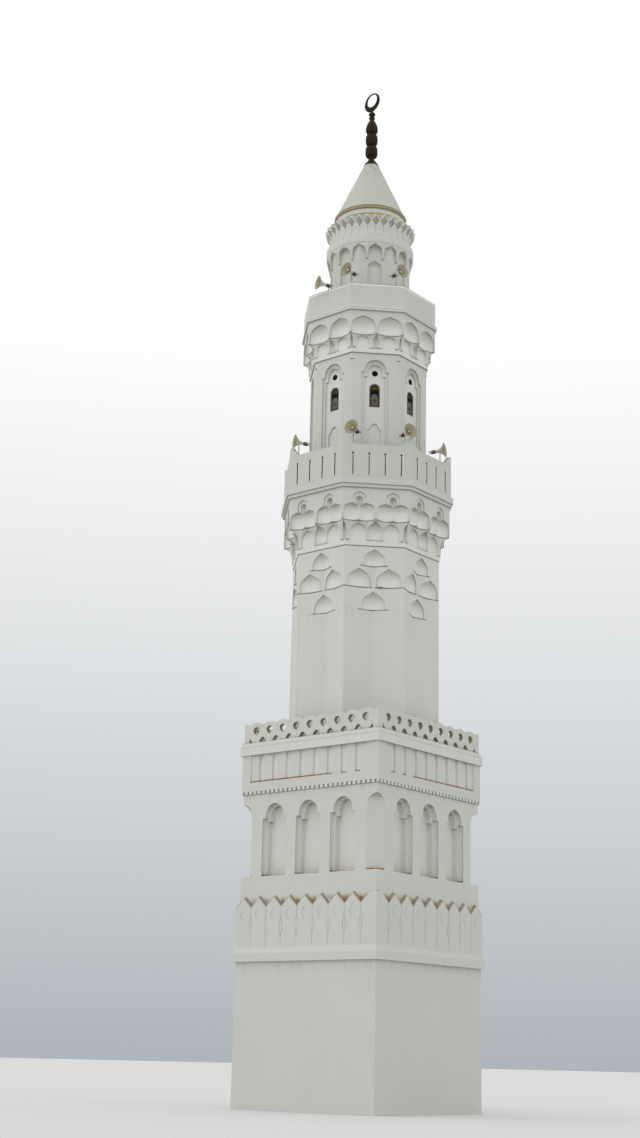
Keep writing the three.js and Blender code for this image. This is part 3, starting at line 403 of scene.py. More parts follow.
def welded(points, faces):
    """Points that share a place are made one, and the faces that this flattens go."""
    kept, index = np.unique(np.round(points, 6), axis=0, return_inverse=True)
    index = index.reshape(-1)
    clean = []
    for face in index[faces]:
        ring = list(dict.fromkeys(face.tolist()))
        if len(ring) > 2:
            clean.append(ring)
    return kept, clean


def joined(parts):
    """Several sets of points and faces as one."""
    points, faces, start = [], [], 0
    for some, theirs in parts:
        points.append(np.asarray(some, float))
        faces.extend([[corner + start for corner in face] for face in theirs])
        start += len(some)
    return np.concatenate(points), faces


BOX_CORNERS = np.array([[x, y, z] for z in (-1, 1) for y in (-1, 1) for x in (-1, 1)], float)
BOX_FACES = [[0, 2, 3, 1], [4, 5, 7, 6], [0, 1, 5, 4], [2, 6, 7, 3], [0, 4, 6, 2], [1, 3, 7, 5]]


def box(low, high):
    """A block between two corners."""
    low, high = np.asarray(low, float), np.asarray(high, float)
    return (low + high) / 2 + BOX_CORNERS * (high - low) / 2, BOX_FACES


def repeated(part, count=8, first=0.0):
    """A part in equal steps round the tower's axis, the first of them turned by an angle in radians."""
    return joined([(turned(part[0], first + 2 * math.pi * k / count), part[1]) for k in range(count)])


def smooth_curve(points, steps):
    """A Catmull-Rom curve: each span is the cubic through its ends, whose slopes are half the distance
    between the neighbours on either side."""
    points = np.asarray(points, float)
    padded = np.concatenate([points[:1], points, points[-1:]])
    t = np.linspace(0, 1, steps, endpoint=False)[None, :, None]
    a, b, c, d = (padded[k:len(points) - 1 + k][:, None] for k in range(4))
    square = 2 * a - 5 * b + 4 * c - d
    cube = 3 * b - a - 3 * c + d
    spans = 0.5 * (2 * b + (c - a) * t + square * t ** 2 + cube * t ** 3)
    return np.concatenate([spans.reshape(-1, points.shape[1]), points[-1:]])


def bend(start, pull, end, count):
    """A quadratic curve from a start to an end, drawn towards a third point."""
    start, pull, end = (np.asarray(point, float) for point in (start, pull, end))
    t = np.linspace(0, 1, count)[:, None]
    return (1 - t) ** 2 * start + 2 * t * (1 - t) * pull + t ** 2 * end


def moulding(path, out, width, proud):
    """A half-round strip on a front wall: its section goes along a path of [along, height] on the face."""
    path = np.asarray(path, float)
    ahead = np.gradient(path, axis=0)
    ahead = ahead / np.linalg.norm(ahead, axis=1)[:, None]
    across = np.stack([-ahead[:, 1], ahead[:, 0]], -1)
    angle = np.linspace(0, math.pi, 5)
    sway = 0.5 * width * np.cos(angle)
    lift = proud * np.sin(angle)
    flat = path[:, None] + across[:, None] * sway[None, :, None]
    points = np.stack([flat[..., 0], np.broadcast_to(-out - lift, flat.shape[:2]), flat[..., 1]], -1)
    back = points.copy()
    back[..., 1] = -out + 0.004
    return capped(np.concatenate([points, back[:, ::-1]], 1))


# Finishes

def off_valley(along):
    """0 in a valley of the zigzag course and 0.5 on a point."""
    turns = (along - FIRST_VALLEY) / TOOTH
    return abs(turns - turns.math("ROUND"))


def tooth_stains(finish):
    """Brown stains behind the zigzag's slopes and heaped in its valleys, and on the sills of the niches."""
    reach, along = finish.square()
    off = off_valley(along)
    above = finish.z - (off * (2 * TOOTH_RISE) + ZIGZAG_VALLEY)
    within = (along > -2.56) * (along < 2.58)
    line = (1 - above.rise(0.040, 0.055)) * 0.8
    fill = 1 - (finish.z + off * 0.1).rise(ZIGZAG_VALLEY + 0.10, ZIGZAG_VALLEY + 0.36)
    heap = fill * finish.specks.rise(0.36, 0.54) * 1.2
    teeth = line.most(heap) * within * (above > -0.05) * (finish.z < 6.66)
    block = (along > 2.60) * finish.band(6.585, 6.630, 0.006) * finish.specks.rise(0.42, 0.56) * 0.9
    hollow = (ARCADE_FACE - reach).rise(0.01, 0.03)
    sill = finish.band(7.19, 7.325, 0.005) * hollow * (0.75 + finish.specks.rise(0.36, 0.56) * 0.25)
    smear = finish.band(7.2, 7.46, 0.06) * hollow * finish.specks.rise(0.50, 0.64) * 0.3
    return teeth + block + sill + smear


def slope_stains(finish):
    """The zigzag's slopes are brown on top, with a thin line along their edges."""
    along = finish.square()[1]
    under = finish.z - off_valley(along) * (2 * TOOTH_RISE)
    edge = under.rise(ZIGZAG_VALLEY - 0.034, ZIGZAG_VALLEY - 0.026)
    top = finish.facing.rise(0.2, 0.45) * (0.30 + finish.specks.rise(0.42, 0.60) * 0.60)
    return top.most(edge * 0.55) * (finish.z > ZIGZAG_VALLEY - 0.05) * (along < 2.60)


def panel_stains(finish):
    """A brown line at the panel's foot: whole along most of the side, then only at the grooves' feet."""
    along = finish.square()[1]
    foot = finish.band(PANEL_FOOT, PANEL_FOOT + 0.07, 0.005) * finish.depth.rise(0.004, 0.010)
    whole = (1 - along.rise(0.75, 0.95)).most(finish.depth.rise(0.05, 0.07))
    return foot * whole * (0.8 + finish.specks.rise(0.38, 0.58) * 0.5)


def hole_stains(finish):
    """The insides of the crest's holes are brown, and its foot has a brown line."""
    depth = finish.depth
    inside = depth.rise(0.002, 0.006) * (1 - depth.rise(0.132, 0.138)) * (finish.z < 12.25)
    foot = finish.band(11.68, 11.75, 0.006) * (1 - depth.rise(0.002, 0.006)) * finish.specks.rise(0.36, 0.5)
    return inside * (0.62 + finish.specks.rise(0.35, 0.6) * 0.30) + foot * 0.42


def neck_stains(finish):
    """An ochre line round the neck's foot."""
    return finish.band(31.205, 31.305) * (0.85 + finish.specks.rise(0.40, 0.60) * 0.15)


def point_shade(finish):
    """Painted shade: the underside of each of the cornice's points has a darker kite with painted light
    edges and its foot down. The slopes behind the points are darker too, as painted shade."""
    out, along = finish.out(POINTS)
    share = along / out
    side = (finish.z - KITE_FOOT) * 0.52 - abs(share)
    kite = side.rise(0.004, 0.011) * (0.86 + (share > 0) * 0.14)
    wall = (1 - side.rise(-0.012, -0.006)) * 0.30
    return (0 - finish.facing).rise(0.1, 0.35) * (kite + wall) + finish.facing.rise(0.15, 0.45) * 0.75


def drum_stains(finish):
    """Ochre tints in the crowns of the arcade and at the foot of the band's hollow."""
    crown = finish.z.rise(29.66, 29.90) * (finish.z < 29.93) * (1.515 - finish.out(16)[0]).rise(0.0, 0.03)
    foot = finish.band(30.25, 30.33, 0.03) * finish.specks.rise(0.40, 0.60)
    return crown * (0.2 + finish.specks.rise(0.40, 0.60) * 0.4) + foot * 0.35


def shaft_lines(finish):
    """Dark lines under the sills of the upper two rows of niches, and under the corbel."""
    along = abs(finish.out(8)[1])
    under_a = finish.band(ROW_A - 0.030, ROW_A + 0.002) * (along < FOLD_HALF + 0.01)
    under_b = finish.band(ROW_B - 0.030, ROW_B + 0.002) * (along > 0.03)
    top = finish.band(SHAFT_TOP - 0.028, SHAFT_TOP + 0.01)
    return under_a + under_b + top


def foot_line(finish):
    """The line under the lowest niches."""
    return finish.band(ROW_C - 0.030, ROW_C + 0.01) * (abs(finish.out(8)[1]) < SHELF_HALF + 0.01)


def row_lines(foot, rim, middle, corner):
    """Lines under a corbel's rim, and at the feet of its hollows in the middles and corners of the sides."""
    def lines(finish):
        along = abs(finish.out(8)[1])
        feet = (along < middle) + (along > corner) * (along < corner + 0.07)
        under_rim = finish.band(rim - 0.034, rim + 0.01) * 0.8
        return finish.band(foot - 0.026, foot + 0.004) * feet + under_rim
    return lines


def bowl_lines(finish):
    """The bowls over the shells are dark towards their heads, as painted shade. Dark lines run at their feet
    and on top.
    """
    along = abs(finish.out(8)[1])
    inside = (abs(along - BOWL) < 0.125) * finish.depth.rise(0.044, 0.05)
    head = (0.22 + finish.z.rise(19.58, 19.80) * 0.40) * (finish.z < 19.85) * (finish.z > 19.495)
    foot = finish.band(19.50, 19.535) * 0.5
    return inside * (head + foot) + finish.band(LOWER_TOP - 0.026, LOWER_TOP + 0.002) * 0.5


def level_lines(heights, strength=0.8):
    """A thin dark line at each height."""
    def lines(finish):
        total = 0 * finish.z
        for height in heights:
            total = total + finish.band(height - 0.026, height + 0.002) * strength
        return total
    return lines


def tier_lines(finish):
    """A line under the corbel, caps on the corner strips, and a dark strip at the outer edge of each step
    in. The caps and strips are soiling and painted shade.
    """
    along = abs(finish.out(8)[1])
    caps = finish.band(25.145, 25.172) * (along > 0.745)
    total = finish.band(25.374, 25.402) * 0.8 + caps
    for step in (0.0, TIER_STEP, 2 * TIER_STEP):
        start = finish.depth.rise(step + 0.002, step + 0.005)
        end = finish.depth.rise(step + 0.03, step + 0.034)
        total = total + (start - end) * (along < 0.70) * 0.5
    return total


def band_lines(finish):
    """Small dark marks at the feet of the arcade's ribs, and a line at the foot of the band, a painted
    shadow where it meets the arcade.
    """
    feet = finish.band(29.345, 29.385, 0.006) * (abs(finish.out(16)[1]) > 0.245)
    return feet + finish.band(29.950, 29.974) * 0.5


def coping_shine(finish):
    """A painted highlight: the parapet's upper edge is lighter than its face."""
    return finish.band(27.868, 27.912, 0.005) * 0.8


def coping_line(finish):
    """The top of the same parapet is dark."""
    return finish.z.rise(27.912, 27.918) * 0.75


def slot_shade(finish):
    """Painted shade: the slots are nearly black inside."""
    depth = PARAPET_FACE - finish.out(8)[0]
    inside = depth.rise(0.002, 0.006) * (1 - depth.rise(0.152, 0.158))
    return inside * (finish.z > 20.56) * (finish.z < 21.42) * 0.85


painted("paint_base", runs=[(4.54, 0.5, 0.10)])
painted("paint_zigzag", extra=slope_stains)
painted("paint_arcade", face=square_face(ARCADE_FACE, CORNER_FACE), edge=0.3, clean=0.75,
        runs=[(DENTIL_LOW, 0.2, 0.2)], extra=tooth_stains, dirt=NICHE_DIRT)
painted("paint_dentils", tone=CORNICE_WHITE)
# Painted shade: the dentil course between the dentils is grey.
painted("paint_dentil_gaps", tone=GAP_SHADE_GREY)
painted("paint_frieze", face=square_face(FRIEZE_FACE), edge=0.0, clean=0.8,
        runs=[(11.28, 0.1, 0.35)], extra=panel_stains, dirt=RUST_DIRT)
painted("paint_cornice", tone=CORNICE_WHITE, runs=[(11.55, 0.2, 0.10)],
        bands=[(TERRACE - 0.01, TERRACE + 0.01, 0.7)], lines=level_lines([11.565], 0.4))
painted("paint_crest", face=square_face(PARAPET_FACE), edge=0.0, clean=0.0,
        runs=[(12.3, 0.4, 0.10)], extra=hole_stains, dirt=HOLE_DIRT)
painted("paint_shaft", tone=SHAFT_WHITE, runs=[(ROW_C, 0.5, 0.08)], lines=foot_line)
painted("paint_niches", tone=SHAFT_WHITE, face=shaft_face, lines=shaft_lines, under=0.7,
        crowns=[(*head, 0.35) for head in (HEAD_C, HEAD_B, HEAD_A)])
painted("paint_lower_row", face=flat_face(2.55), edge=0.0, lit=0.8,
        crowns=[(18.65, 19.0, 0.35)], lines=row_lines(18.365, LOWER_RIM, 0.275, 0.905))
painted("paint_lower_top", face=flat_face(LOWER_TIP), lit=0.3, lines=bowl_lines,
        crowns=[(19.36, 19.575, 0.25), (19.80, 20.0, 0.2)])
painted("paint_balcony", lines=level_lines([20.236, 27.0], 0.35), under=0.45)
painted("paint_lower_parapet", tone=PARAPET_WHITE, runs=[(21.7, 0.6, 0.08)], holes=slot_shade)
painted("paint_tier", face=flat_face(TIER), edge=0.0, clean=0.45,
        crowns=[(24.7, 25.153, 0.35)], lines=tier_lines)
painted("paint_upper_row", face=flat_face(2.15), edge=0.0, lit=0.8,
        crowns=[(25.80, 26.04, 0.3)], lines=row_lines(25.575, UPPER_RIM, 0.14, 0.73))
painted("paint_upper_top", face=flat_face(UPPER_TIP), crowns=[(*UPPER_HEAD, 0.35)],
        lit=0.2, lines=level_lines([UPPER_TOP], 0.5))
# The upper parapet's extra is a painted highlight along its upper edge.
painted("paint_upper_parapet", runs=[(27.93, 0.7, 0.06)], extra=coping_shine,
        dirt=BRIGHT, lines=coping_line)
painted("paint_drum", face=flat_face(DRUM), edge=0.6, clean=0.5,
        crowns=[(29.05, 29.33, 0.7)], runs=[(29.36, 0.3, 0.08)])
painted("paint_band", extra=drum_stains, dirt=OCHRE_DIRT, lines=band_lines, under=0.1)
# The points' extra is painted shade, with painted highlights left on their lips and edges.
painted("paint_teeth", tone=POINT_WHITE, extra=point_shade, dirt=SHADE, under=0.0)
painted("paint_neck", tone=SHAFT_WHITE, extra=neck_stains, dirt=OCHRE_DIRT)
painted("paint_cone", tone=CREAM_WHITE, runs=[(33.95, 1.1, 0.35)])
plain("screed", (0.60, 0.59, 0.55, 1), 0.85, patch=0.5, scale=3.0)
plain("dark_bronze", (0.019, 0.013, 0.006, 1), 0.6, patch=0.6, scale=9.0,
      other=(0.052, 0.034, 0.015, 1), shine=0.12)
plain("horn_cream", (0.62, 0.585, 0.46, 1), 0.5)
plain("horn_rim", (0.12, 0.105, 0.07, 1), 0.6, patch=0.4)
plain("horn_mouth", (0.41, 0.37, 0.235, 1), 0.55, patch=0.4)
plain("horn_driver", (0.045, 0.045, 0.045, 1), 0.45)
plain("bracket_steel", (0.36, 0.35, 0.31, 1), 0.45, 0.3)
plain("window_frame_brown", (0.12, 0.075, 0.035, 1), 0.55, patch=0.5, scale=22.0)
# Painted shade: near black glass for the dark inside of the round holes
plain("dark_glass", (0.006, 0.006, 0.006, 1), 0.5, patch=0.2, shine=0.06)
plain("housing_grey", (0.105, 0.103, 0.088, 1), 0.5, patch=0.5)
plain("housing_dark", (0.045, 0.044, 0.036, 1), 0.5)
# Darker strips for the relief's lines and the drum's joints: soiling, and painted shade of the grooves they
# stand for
plain("joint_dirt", (0.36, 0.345, 0.28, 1), 0.85, patch=0.85, scale=3.0, other=(0.60, 0.605, 0.56, 1))


def eave_finish():
    """Olive brown, with a lighter line in the middle."""
    finish = Finish("eave_paint")
    patches = finish.noise(9.0, detail=4.0)
    colour = finish.mix(patches.rise(0.38, 0.72) * 0.35, (0.27, 0.215, 0.10, 1), (0.16, 0.12, 0.05, 1))
    finish.colour(finish.mix(finish.band(31.530, 31.562) * 0.75, colour, (0.56, 0.53, 0.42, 1)))
    finish.rough(0.6 + patches * 0.2)


def pane_finish():
    """Glass, near black as painted shade for the dark inside, and olive brown in the head of the slit."""
    finish = Finish("dark_pane", shine=0.06)
    specks = finish.noise(9.0, detail=3.0)
    head = finish.z.rise(24.06, 24.11)
    finish.colour(finish.mix(head, (0.007, 0.007, 0.006, 1), (0.085, 0.066, 0.028, 1)))
    finish.rough(0.45 + specks * 0.2)


pane_finish()
eave_finish()

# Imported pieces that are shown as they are
KEPT = {
    "ground_floor": "screed", "terrace_floor": "screed",
    "roof_ledge": "paint_base", "dentil_course": "paint_dentil_gaps", "frieze_band": "paint_frieze",
    "ribbed_frieze": "paint_frieze", "base_cornice": "paint_cornice", "folded_shaft": "paint_shaft",
    "lower_balcony_floor": "paint_balcony", "upper_balcony_floor": "paint_balcony",
    "upper_parapet": "paint_upper_parapet", "star_cornice": "paint_teeth",
}
for side in SIDES:
    KEPT[side + "_lower_wall"] = "paint_base"
    KEPT[side + "_zigzag_parapet"] = "paint_zigzag"
    KEPT[side + "_arcade_wall"] = "paint_arcade"
for node, look in KEPT.items():
    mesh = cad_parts[node].data
    mesh.materials.clear()
    mesh.materials.append(LOOKS[look])

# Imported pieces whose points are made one, so that they can be shaded smooth
SMOOTHED = [("lower_corbel_bottom_row", "paint_lower_row", 38), ("lower_parapet", "paint_lower_parapet", 30),
            ("window_tier", "paint_tier", 30), ("upper_corbel_bottom_row", "paint_upper_row", 38),
            ("drum_wall", "paint_drum", 35)]
for node, look, sharp in SMOOTHED:
    piece(node + "_plaster", *merged(node), look, "white_paint", [node], sharp)


# Carved shells

JOIN, CUT = "UNION", "DIFFERENCE"
SOFT = (0.56, 0.78, 0.6)
POINTED = (0.68, 0.6, 0.4)
FULL = (0.74, 0.69, 0.5)


def arch(style, half, low, spring, apex):
    """A pointed arch as a ring of [along, height]: first its right half, of 19 points, from the jamb's foot
    up a curve to the shoulder and straight on to the apex, then its left half and the sill. The style gives
    the shoulder, and the height the curve is drawn towards, as shares of the half width and the rise."""
    across, up, pull = style
    rise = apex - spring
    shoulder = np.array([across * half, spring + up * rise])
    curve = bend([half, spring], [half, spring + pull * rise], shoulder, 10)
    jamb = np.stack([np.full(4, half), np.linspace(low, spring, 5)[:4]], -1)
    tip = shoulder + np.linspace(0, 1, 6)[1:, None] * (np.array([0, apex]) - shoulder)
    right = np.concatenate([jamb, curve, tip])
    left = right[-2::-1] * [-1, 1]
    sill = np.stack([np.linspace(-half, half, 15)[1:-1], np.full(13, low)], -1)
    return np.concatenate([right, left, sill])


def scoop(style, half, low, spring, apex, centre, face, plan, step=0.035):
    """A closed cutter for one shell. Rings shrink from the arch to a point inside it. At the arch itself
    the depth behind the face is the step. Inside it is the plan's depth at that place, and above the spring
    it closes to the arch as a quarter of an ellipse does. The face gives the wall's distance out."""
    ring = arch(style, half, low, spring, apex)
    right = ring[:19]
    focus = np.array([0, low + 0.45 * (spring - low)])
    shares = np.array([1, 0.993, 0.975, 0.94, 0.88, 0.79, 0.67, 0.52, 0.34, 0.16, 0.0])
    spots = focus + (ring[None] - focus) * shares[:, None, None]
    along, height = spots[..., 0], spots[..., 1]
    plan = np.asarray(plan, float)
    depth = np.interp(along + centre, plan[:, 0], plan[:, 1])
    head = np.interp(np.abs(along), right[::-1, 0], right[::-1, 1])
    part = ((height - spring) / np.maximum(head - spring, 1e-4)).clip(0, 1)
    depth = step + (depth - step).clip(0) * np.sqrt(np.maximum(1 - part ** 2, 0))
    wall = face(along + centre)
    cover = np.full((2, len(ring)), wall.max() + 0.08)
    out = np.concatenate([cover, wall - depth])
    spots = np.concatenate([[spots[0] * 0 + focus, spots[0]], spots])
    points = np.stack([spots[..., 0] + centre, -out, spots[..., 1]], -1)
    return welded(points.reshape(-1, 3), grid(*out.shape, False, True))


def side_plan(half):
    """The whole octagon's plan, from half a side's as [along, out] from its middle to its corner."""
    half = np.asarray(half, float)
    side = np.concatenate([half[:0:-1] * [-1, 1], half[:-1]])
    flat = np.stack([side[:, 0], -side[:, 1], np.zeros(len(side))], -1)
    return np.concatenate([turned(flat, k * EIGHTH) for k in range(8)])[:, :2]


def prism(plan, low, high):
    """A closed plan raised between two heights."""
    return capped([np.column_stack([plan, np.full(len(plan), z)]) for z in (low, high)])


def octagon(distance, low, high):
    """A plain octagon with its sides at a distance out."""
    return prism(side_plan([[0, distance], [distance * HALF_SIDE, distance]]), low, high)


def well(inside, low, high):
    """A cutter for the stairwell, longer than the piece that it goes through."""
    return octagon(inside, low - 0.1, high + 0.1)


def level(distance):
    """A wall's face at the same distance out all along the side."""
    return lambda along: np.full(np.shape(along), distance)


def solid(name, part):
    """A closed mesh with its normals outwards, for carving."""
    made = drawn(name, *part)
    work = bmesh.new()
    work.from_mesh(made.data)
    bmesh.ops.recalc_face_normals(work, faces=work.faces)
    work.to_mesh(made.data)
    work.free()
    return made


def carved(name, steps, look, node, sharp=32):
    """Solids added to the first or cut from it, in their order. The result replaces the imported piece."""
    whole = solid(name + "_start", steps[0][1])
    tools = [solid(name + "_tool", part) for operation, part in steps[1:]]
    for (operation, part), tool in zip(steps[1:], tools):
        cut = whole.modifiers.new("cut", "BOOLEAN")
        cut.operation = operation
        cut.solver = "MANIFOLD"
        cut.object = tool
    bpy.context.view_layer.update()
    made = bpy.data.meshes.new_from_object(whole.evaluated_get(bpy.context.evaluated_depsgraph_get()))
    points = np.empty(len(made.vertices) * 3)
    made.vertices.foreach_get("co", points)
    faces = [list(polygon.vertices) for polygon in made.polygons]
    for each in [whole, *tools]:
        bpy.data.objects.remove(each)
    piece(name, points.reshape(-1, 3), faces, look, "white_paint", [node], sharp)


def niche_shaft():
    """Three stages of the octagon. A side has a pair of niches in the middle one, and else a single one."""
    corner = SHAFT * HALF_SIDE
    low_stage = prism(side_plan([[0, SHELF], [SHELF_HALF, SHELF], [corner, SHAFT]]), ROW_C, ROW_B)
    fold_stage = prism(side_plan([[0, FOLD], [FOLD_HALF, SHAFT], [corner, SHAFT]]), ROW_B, ROW_A)

    def slant(along):
        return np.minimum(SHAFT, FOLD + (SHAFT - FOLD) * np.abs(along) / FOLD_HALF)

    star = 2.105 + SILL_STEP
    low = scoop(POINTED, 0.392, ROW_C, *HEAD_C, 0, level(SHELF),
                [[-0.392, 0.03], [0, SHELF - star], [0.392, 0.03]])
    high = scoop(POINTED, 0.357, ROW_A, *HEAD_A, 0, level(SHAFT),
                 [[-0.357, 0.04], [0, SHAFT - FOLD - SILL_STEP], [0.357, 0.04]])
    pair = []
    places = np.array([0.098, SHELF_HALF, 0.908])
    backs = np.array([SHELF, SHELF + SILL_STEP, 2.41])
    for side in (-1, 1):
        plan = np.column_stack([places * side, slant(places) - backs])[::side]
        pair.append(scoop(POINTED, 0.405, ROW_B, *HEAD_B, side * 0.503, slant, plan, 0.028))
    cutters = repeated(joined([low, high, *pair]))
    steps = [(JOIN, low_stage), (JOIN, fold_stage), (JOIN, octagon(SHAFT, ROW_A, SHAFT_TOP)),
             (CUT, cutters), (CUT, well(SHAFT_INSIDE, ROW_C, SHAFT_TOP))]
    carved("niche_shaft_plaster", steps, "paint_niches", "niche_shaft")


def two_sided(plan):
    """A plan of [along, depth], and the same mirrored, each with its side's sign."""
    return [(side, (np.array(plan) * [side, 1])[::side]) for side in (-1, 1)]


def lower_top_row():
    """Four shells on each side in two pairs, with a bevelled panel and a small bowl over each pair."""
    plans = {0.322: [[0.052, 0.05], [0.10, 0.135], [0.34, 0.245], [0.47, 0.215], [0.58, 0.11]],
             0.836: [[0.570, 0.11], [0.68, 0.215], [0.81, 0.245], [1.055, 0.135], [1.106, 0.05]]}
    face = level(LOWER_TIP)
    steps = [(JOIN, octagon(LOWER_TIP, LOWER_RIM, LOWER_TOP))]
    for middle, plan in plans.items():
        shells = [scoop(FULL, 0.270, LOWER_RIM - 0.001, 19.345, 19.575, side * middle, face, mirrored)
                  for side, mirrored in two_sided(plan)]
        steps.append((CUT, repeated(joined(shells))))

    def panel(grow):
        """A panel's outline, grown all round."""
        return arch(POINTED, 0.232 + grow, 19.53 - grow, 19.79, 20.0 + 1.2 * grow)

    bevel = block(panel(0.034), panel(-0.034), LOWER_TIP + 0.042, LOWER_TIP - 0.018)
    recess = block(panel(-0.008), panel(-0.008), LOWER_TIP + 0.042, LOWER_TIP - 0.040)
    bowl = scoop(POINTED, 0.121, 19.50, 19.73, 19.845, 0, face,
                 [[-0.121, 0.06], [0, 0.16], [0.121, 0.06]], 0.06)
    for points, faces in (bevel, recess, bowl):
        pair = joined([(points + [side * BOWL, 0, 0], faces) for side in (-1, 1)])
        steps.append((CUT, repeated(pair)))
    steps.append((CUT, well(SHAFT_INSIDE, LOWER_RIM, LOWER_TOP)))
    carved("lower_shells", steps, "paint_lower_top", "lower_corbel_top_row")


def upper_top_row():
    """Two wide shells on each side."""
    plan = [[0.049, 0.05], [0.085, 0.09], [0.255, 0.16], [0.455, 0.182],
            [0.69, 0.16], [0.86, 0.09], [0.893, 0.05]]
    shells = [scoop(SOFT, 0.422, UPPER_RIM - 0.001, *UPPER_HEAD, side * 0.471, level(UPPER_TIP), mirrored)
              for side, mirrored in two_sided(plan)]
    steps = [(JOIN, octagon(UPPER_TIP, UPPER_RIM, UPPER_TOP)), (CUT, repeated(joined(shells))),
             (CUT, well(TIER_INSIDE, UPPER_RIM, UPPER_TOP))]
    carved("upper_shells", steps, "paint_upper_top", "upper_corbel_top_row")


def drum_arcade():
    """A flared ring with sixteen arches cut back to the drum's eight sides, and the band over it."""
    foot, top = DRUM_FLARE[0][1], DRUM_PANEL[-1][1]
    web = lathe([[0, foot], *DRUM_FLARE, *DRUM_PANEL, [0, top]], 160)
    outline = arch(FULL, 0.252, foot - 0.05, 29.575, 29.918)
    opening = block(outline, outline, 1.66, 1.36)
    steps = [(JOIN, web), (CUT, repeated(opening)), (CUT, repeated(opening, 8, EIGHTH / 2)),
             (JOIN, octagon(DRUM, foot, top)), (CUT, well(DRUM_INSIDE, foot, top))]
    carved("drum_arcade", steps, "paint_band", "drum_band")


def crests():
    """Each pierced parapet with its teardrops and foot arches cut fuller, by curves, and half an arch at
    each end."""
    thick, pitch = 0.14, 0.579
    drop = np.concatenate([bend([0, 12.238], [0.134, 12.215], [0.134, 12.118], 9),
                           bend([0.134, 12.118], [0.120, 12.03], [0, 11.958], 9)[1:]])
    drop = np.concatenate([drop, drop[-2:0:-1] * [-1, 1]])
    half = bend([0.150, TERRACE + 0.03], [0.125, TERRACE + 0.145], [0, 11.888], 9)
    half = np.concatenate([[[0.150, TERRACE - 0.01]], half])
    opening = np.concatenate([half, half[-2::-1] * [-1, 1]])
    slit = np.array([[0.0, -0.01], [0.0, 0.175], [-0.125, 0.02], [-0.125, -0.01]]) + [0, TERRACE]
    outlines = [drop + [(k - 4) * pitch, 0] for k in range(9)]
    outlines += [opening + [(k - 3.5) * pitch, 0] for k in range(8)]
    outlines += [slit + [4.5 * pitch, 0], (slit * [-1, 1] - [4.5 * pitch, 0])[::-1]]
    front, back = PARAPET_FACE + 0.02, PARAPET_FACE - thick - 0.02
    points, faces = joined([block(line, line, front, back) for line in outlines])
    for number, side in enumerate(SIDES):
        node = side + "_pierced_parapet"
        cutter = turned(points, number * math.pi / 2), faces
        carved(side + "_crest", [(JOIN, merged(node)), (CUT, cutter)], "paint_crest", node, 35)


niche_shaft()
crests()
lower_top_row()
upper_top_row()
drum_arcade()


# Square base

def dentils():
    """Blocks in a row under the frieze: equal steps along each side, and one at each corner."""
    pitch, half, back, face = 0.19, 0.055, 2.80, 2.857
    spots = (np.arange(29) - 14) * pitch
    row = joined([box([x - half, -face, DENTIL_LOW + 0.012], [x + half, -back, DENTIL_HIGH]) for x in spots])
    corner = box([-face, -face, DENTIL_LOW + 0.012], [-back, -back, DENTIL_HIGH])
    piece("dentils", *repeated(joined([row, corner]), 4), "paint_dentils", "white_paint")


def leaf_lines():
    """Blind relief under each valley of the zigzag course: a line, a leaf of two arcs, and a line. Beside it
    there are two strokes in the shape of an arrowhead."""
    face, first = 2.90, 0.02
    leaf_low, leaf_high, swell = 5.33, 5.93, 0.058
    t = np.linspace(0, 1, 15)
    arc = np.stack([swell * np.sin(math.pi * t), leaf_low + (leaf_high - leaf_low) * t], -1)
    leaf = [[[0, ZIGZAG_FOOT + 0.05], [0, leaf_low]], [[0, leaf_high], [0, ZIGZAG_VALLEY]],
            arc * [-1, 1], arc]
    parts = []
    for side in range(4):
        hand = -1 if side % 2 else 1
        point = -hand * TOOTH / 2
        strokes = [[[point - 0.13, 6.03], [point, height]] for height in (6.22, 5.84)]
        for tooth in range(1, 9):
            x = hand * (first - face + tooth * TOOTH)
            for line in leaf + strokes:
                points, faces = moulding(np.asarray(line) + [x, 0], face, 0.016, 0.006)
                parts.append((turned(points, side * math.pi / 2), faces))
    # The relief's lines are darker strips: soiling, and painted shade of incised grooves.
    piece("zigzag_relief", *joined(parts), "joint_dirt", "white_paint")


dentils()
leaf_lines()


# Windows of the tier

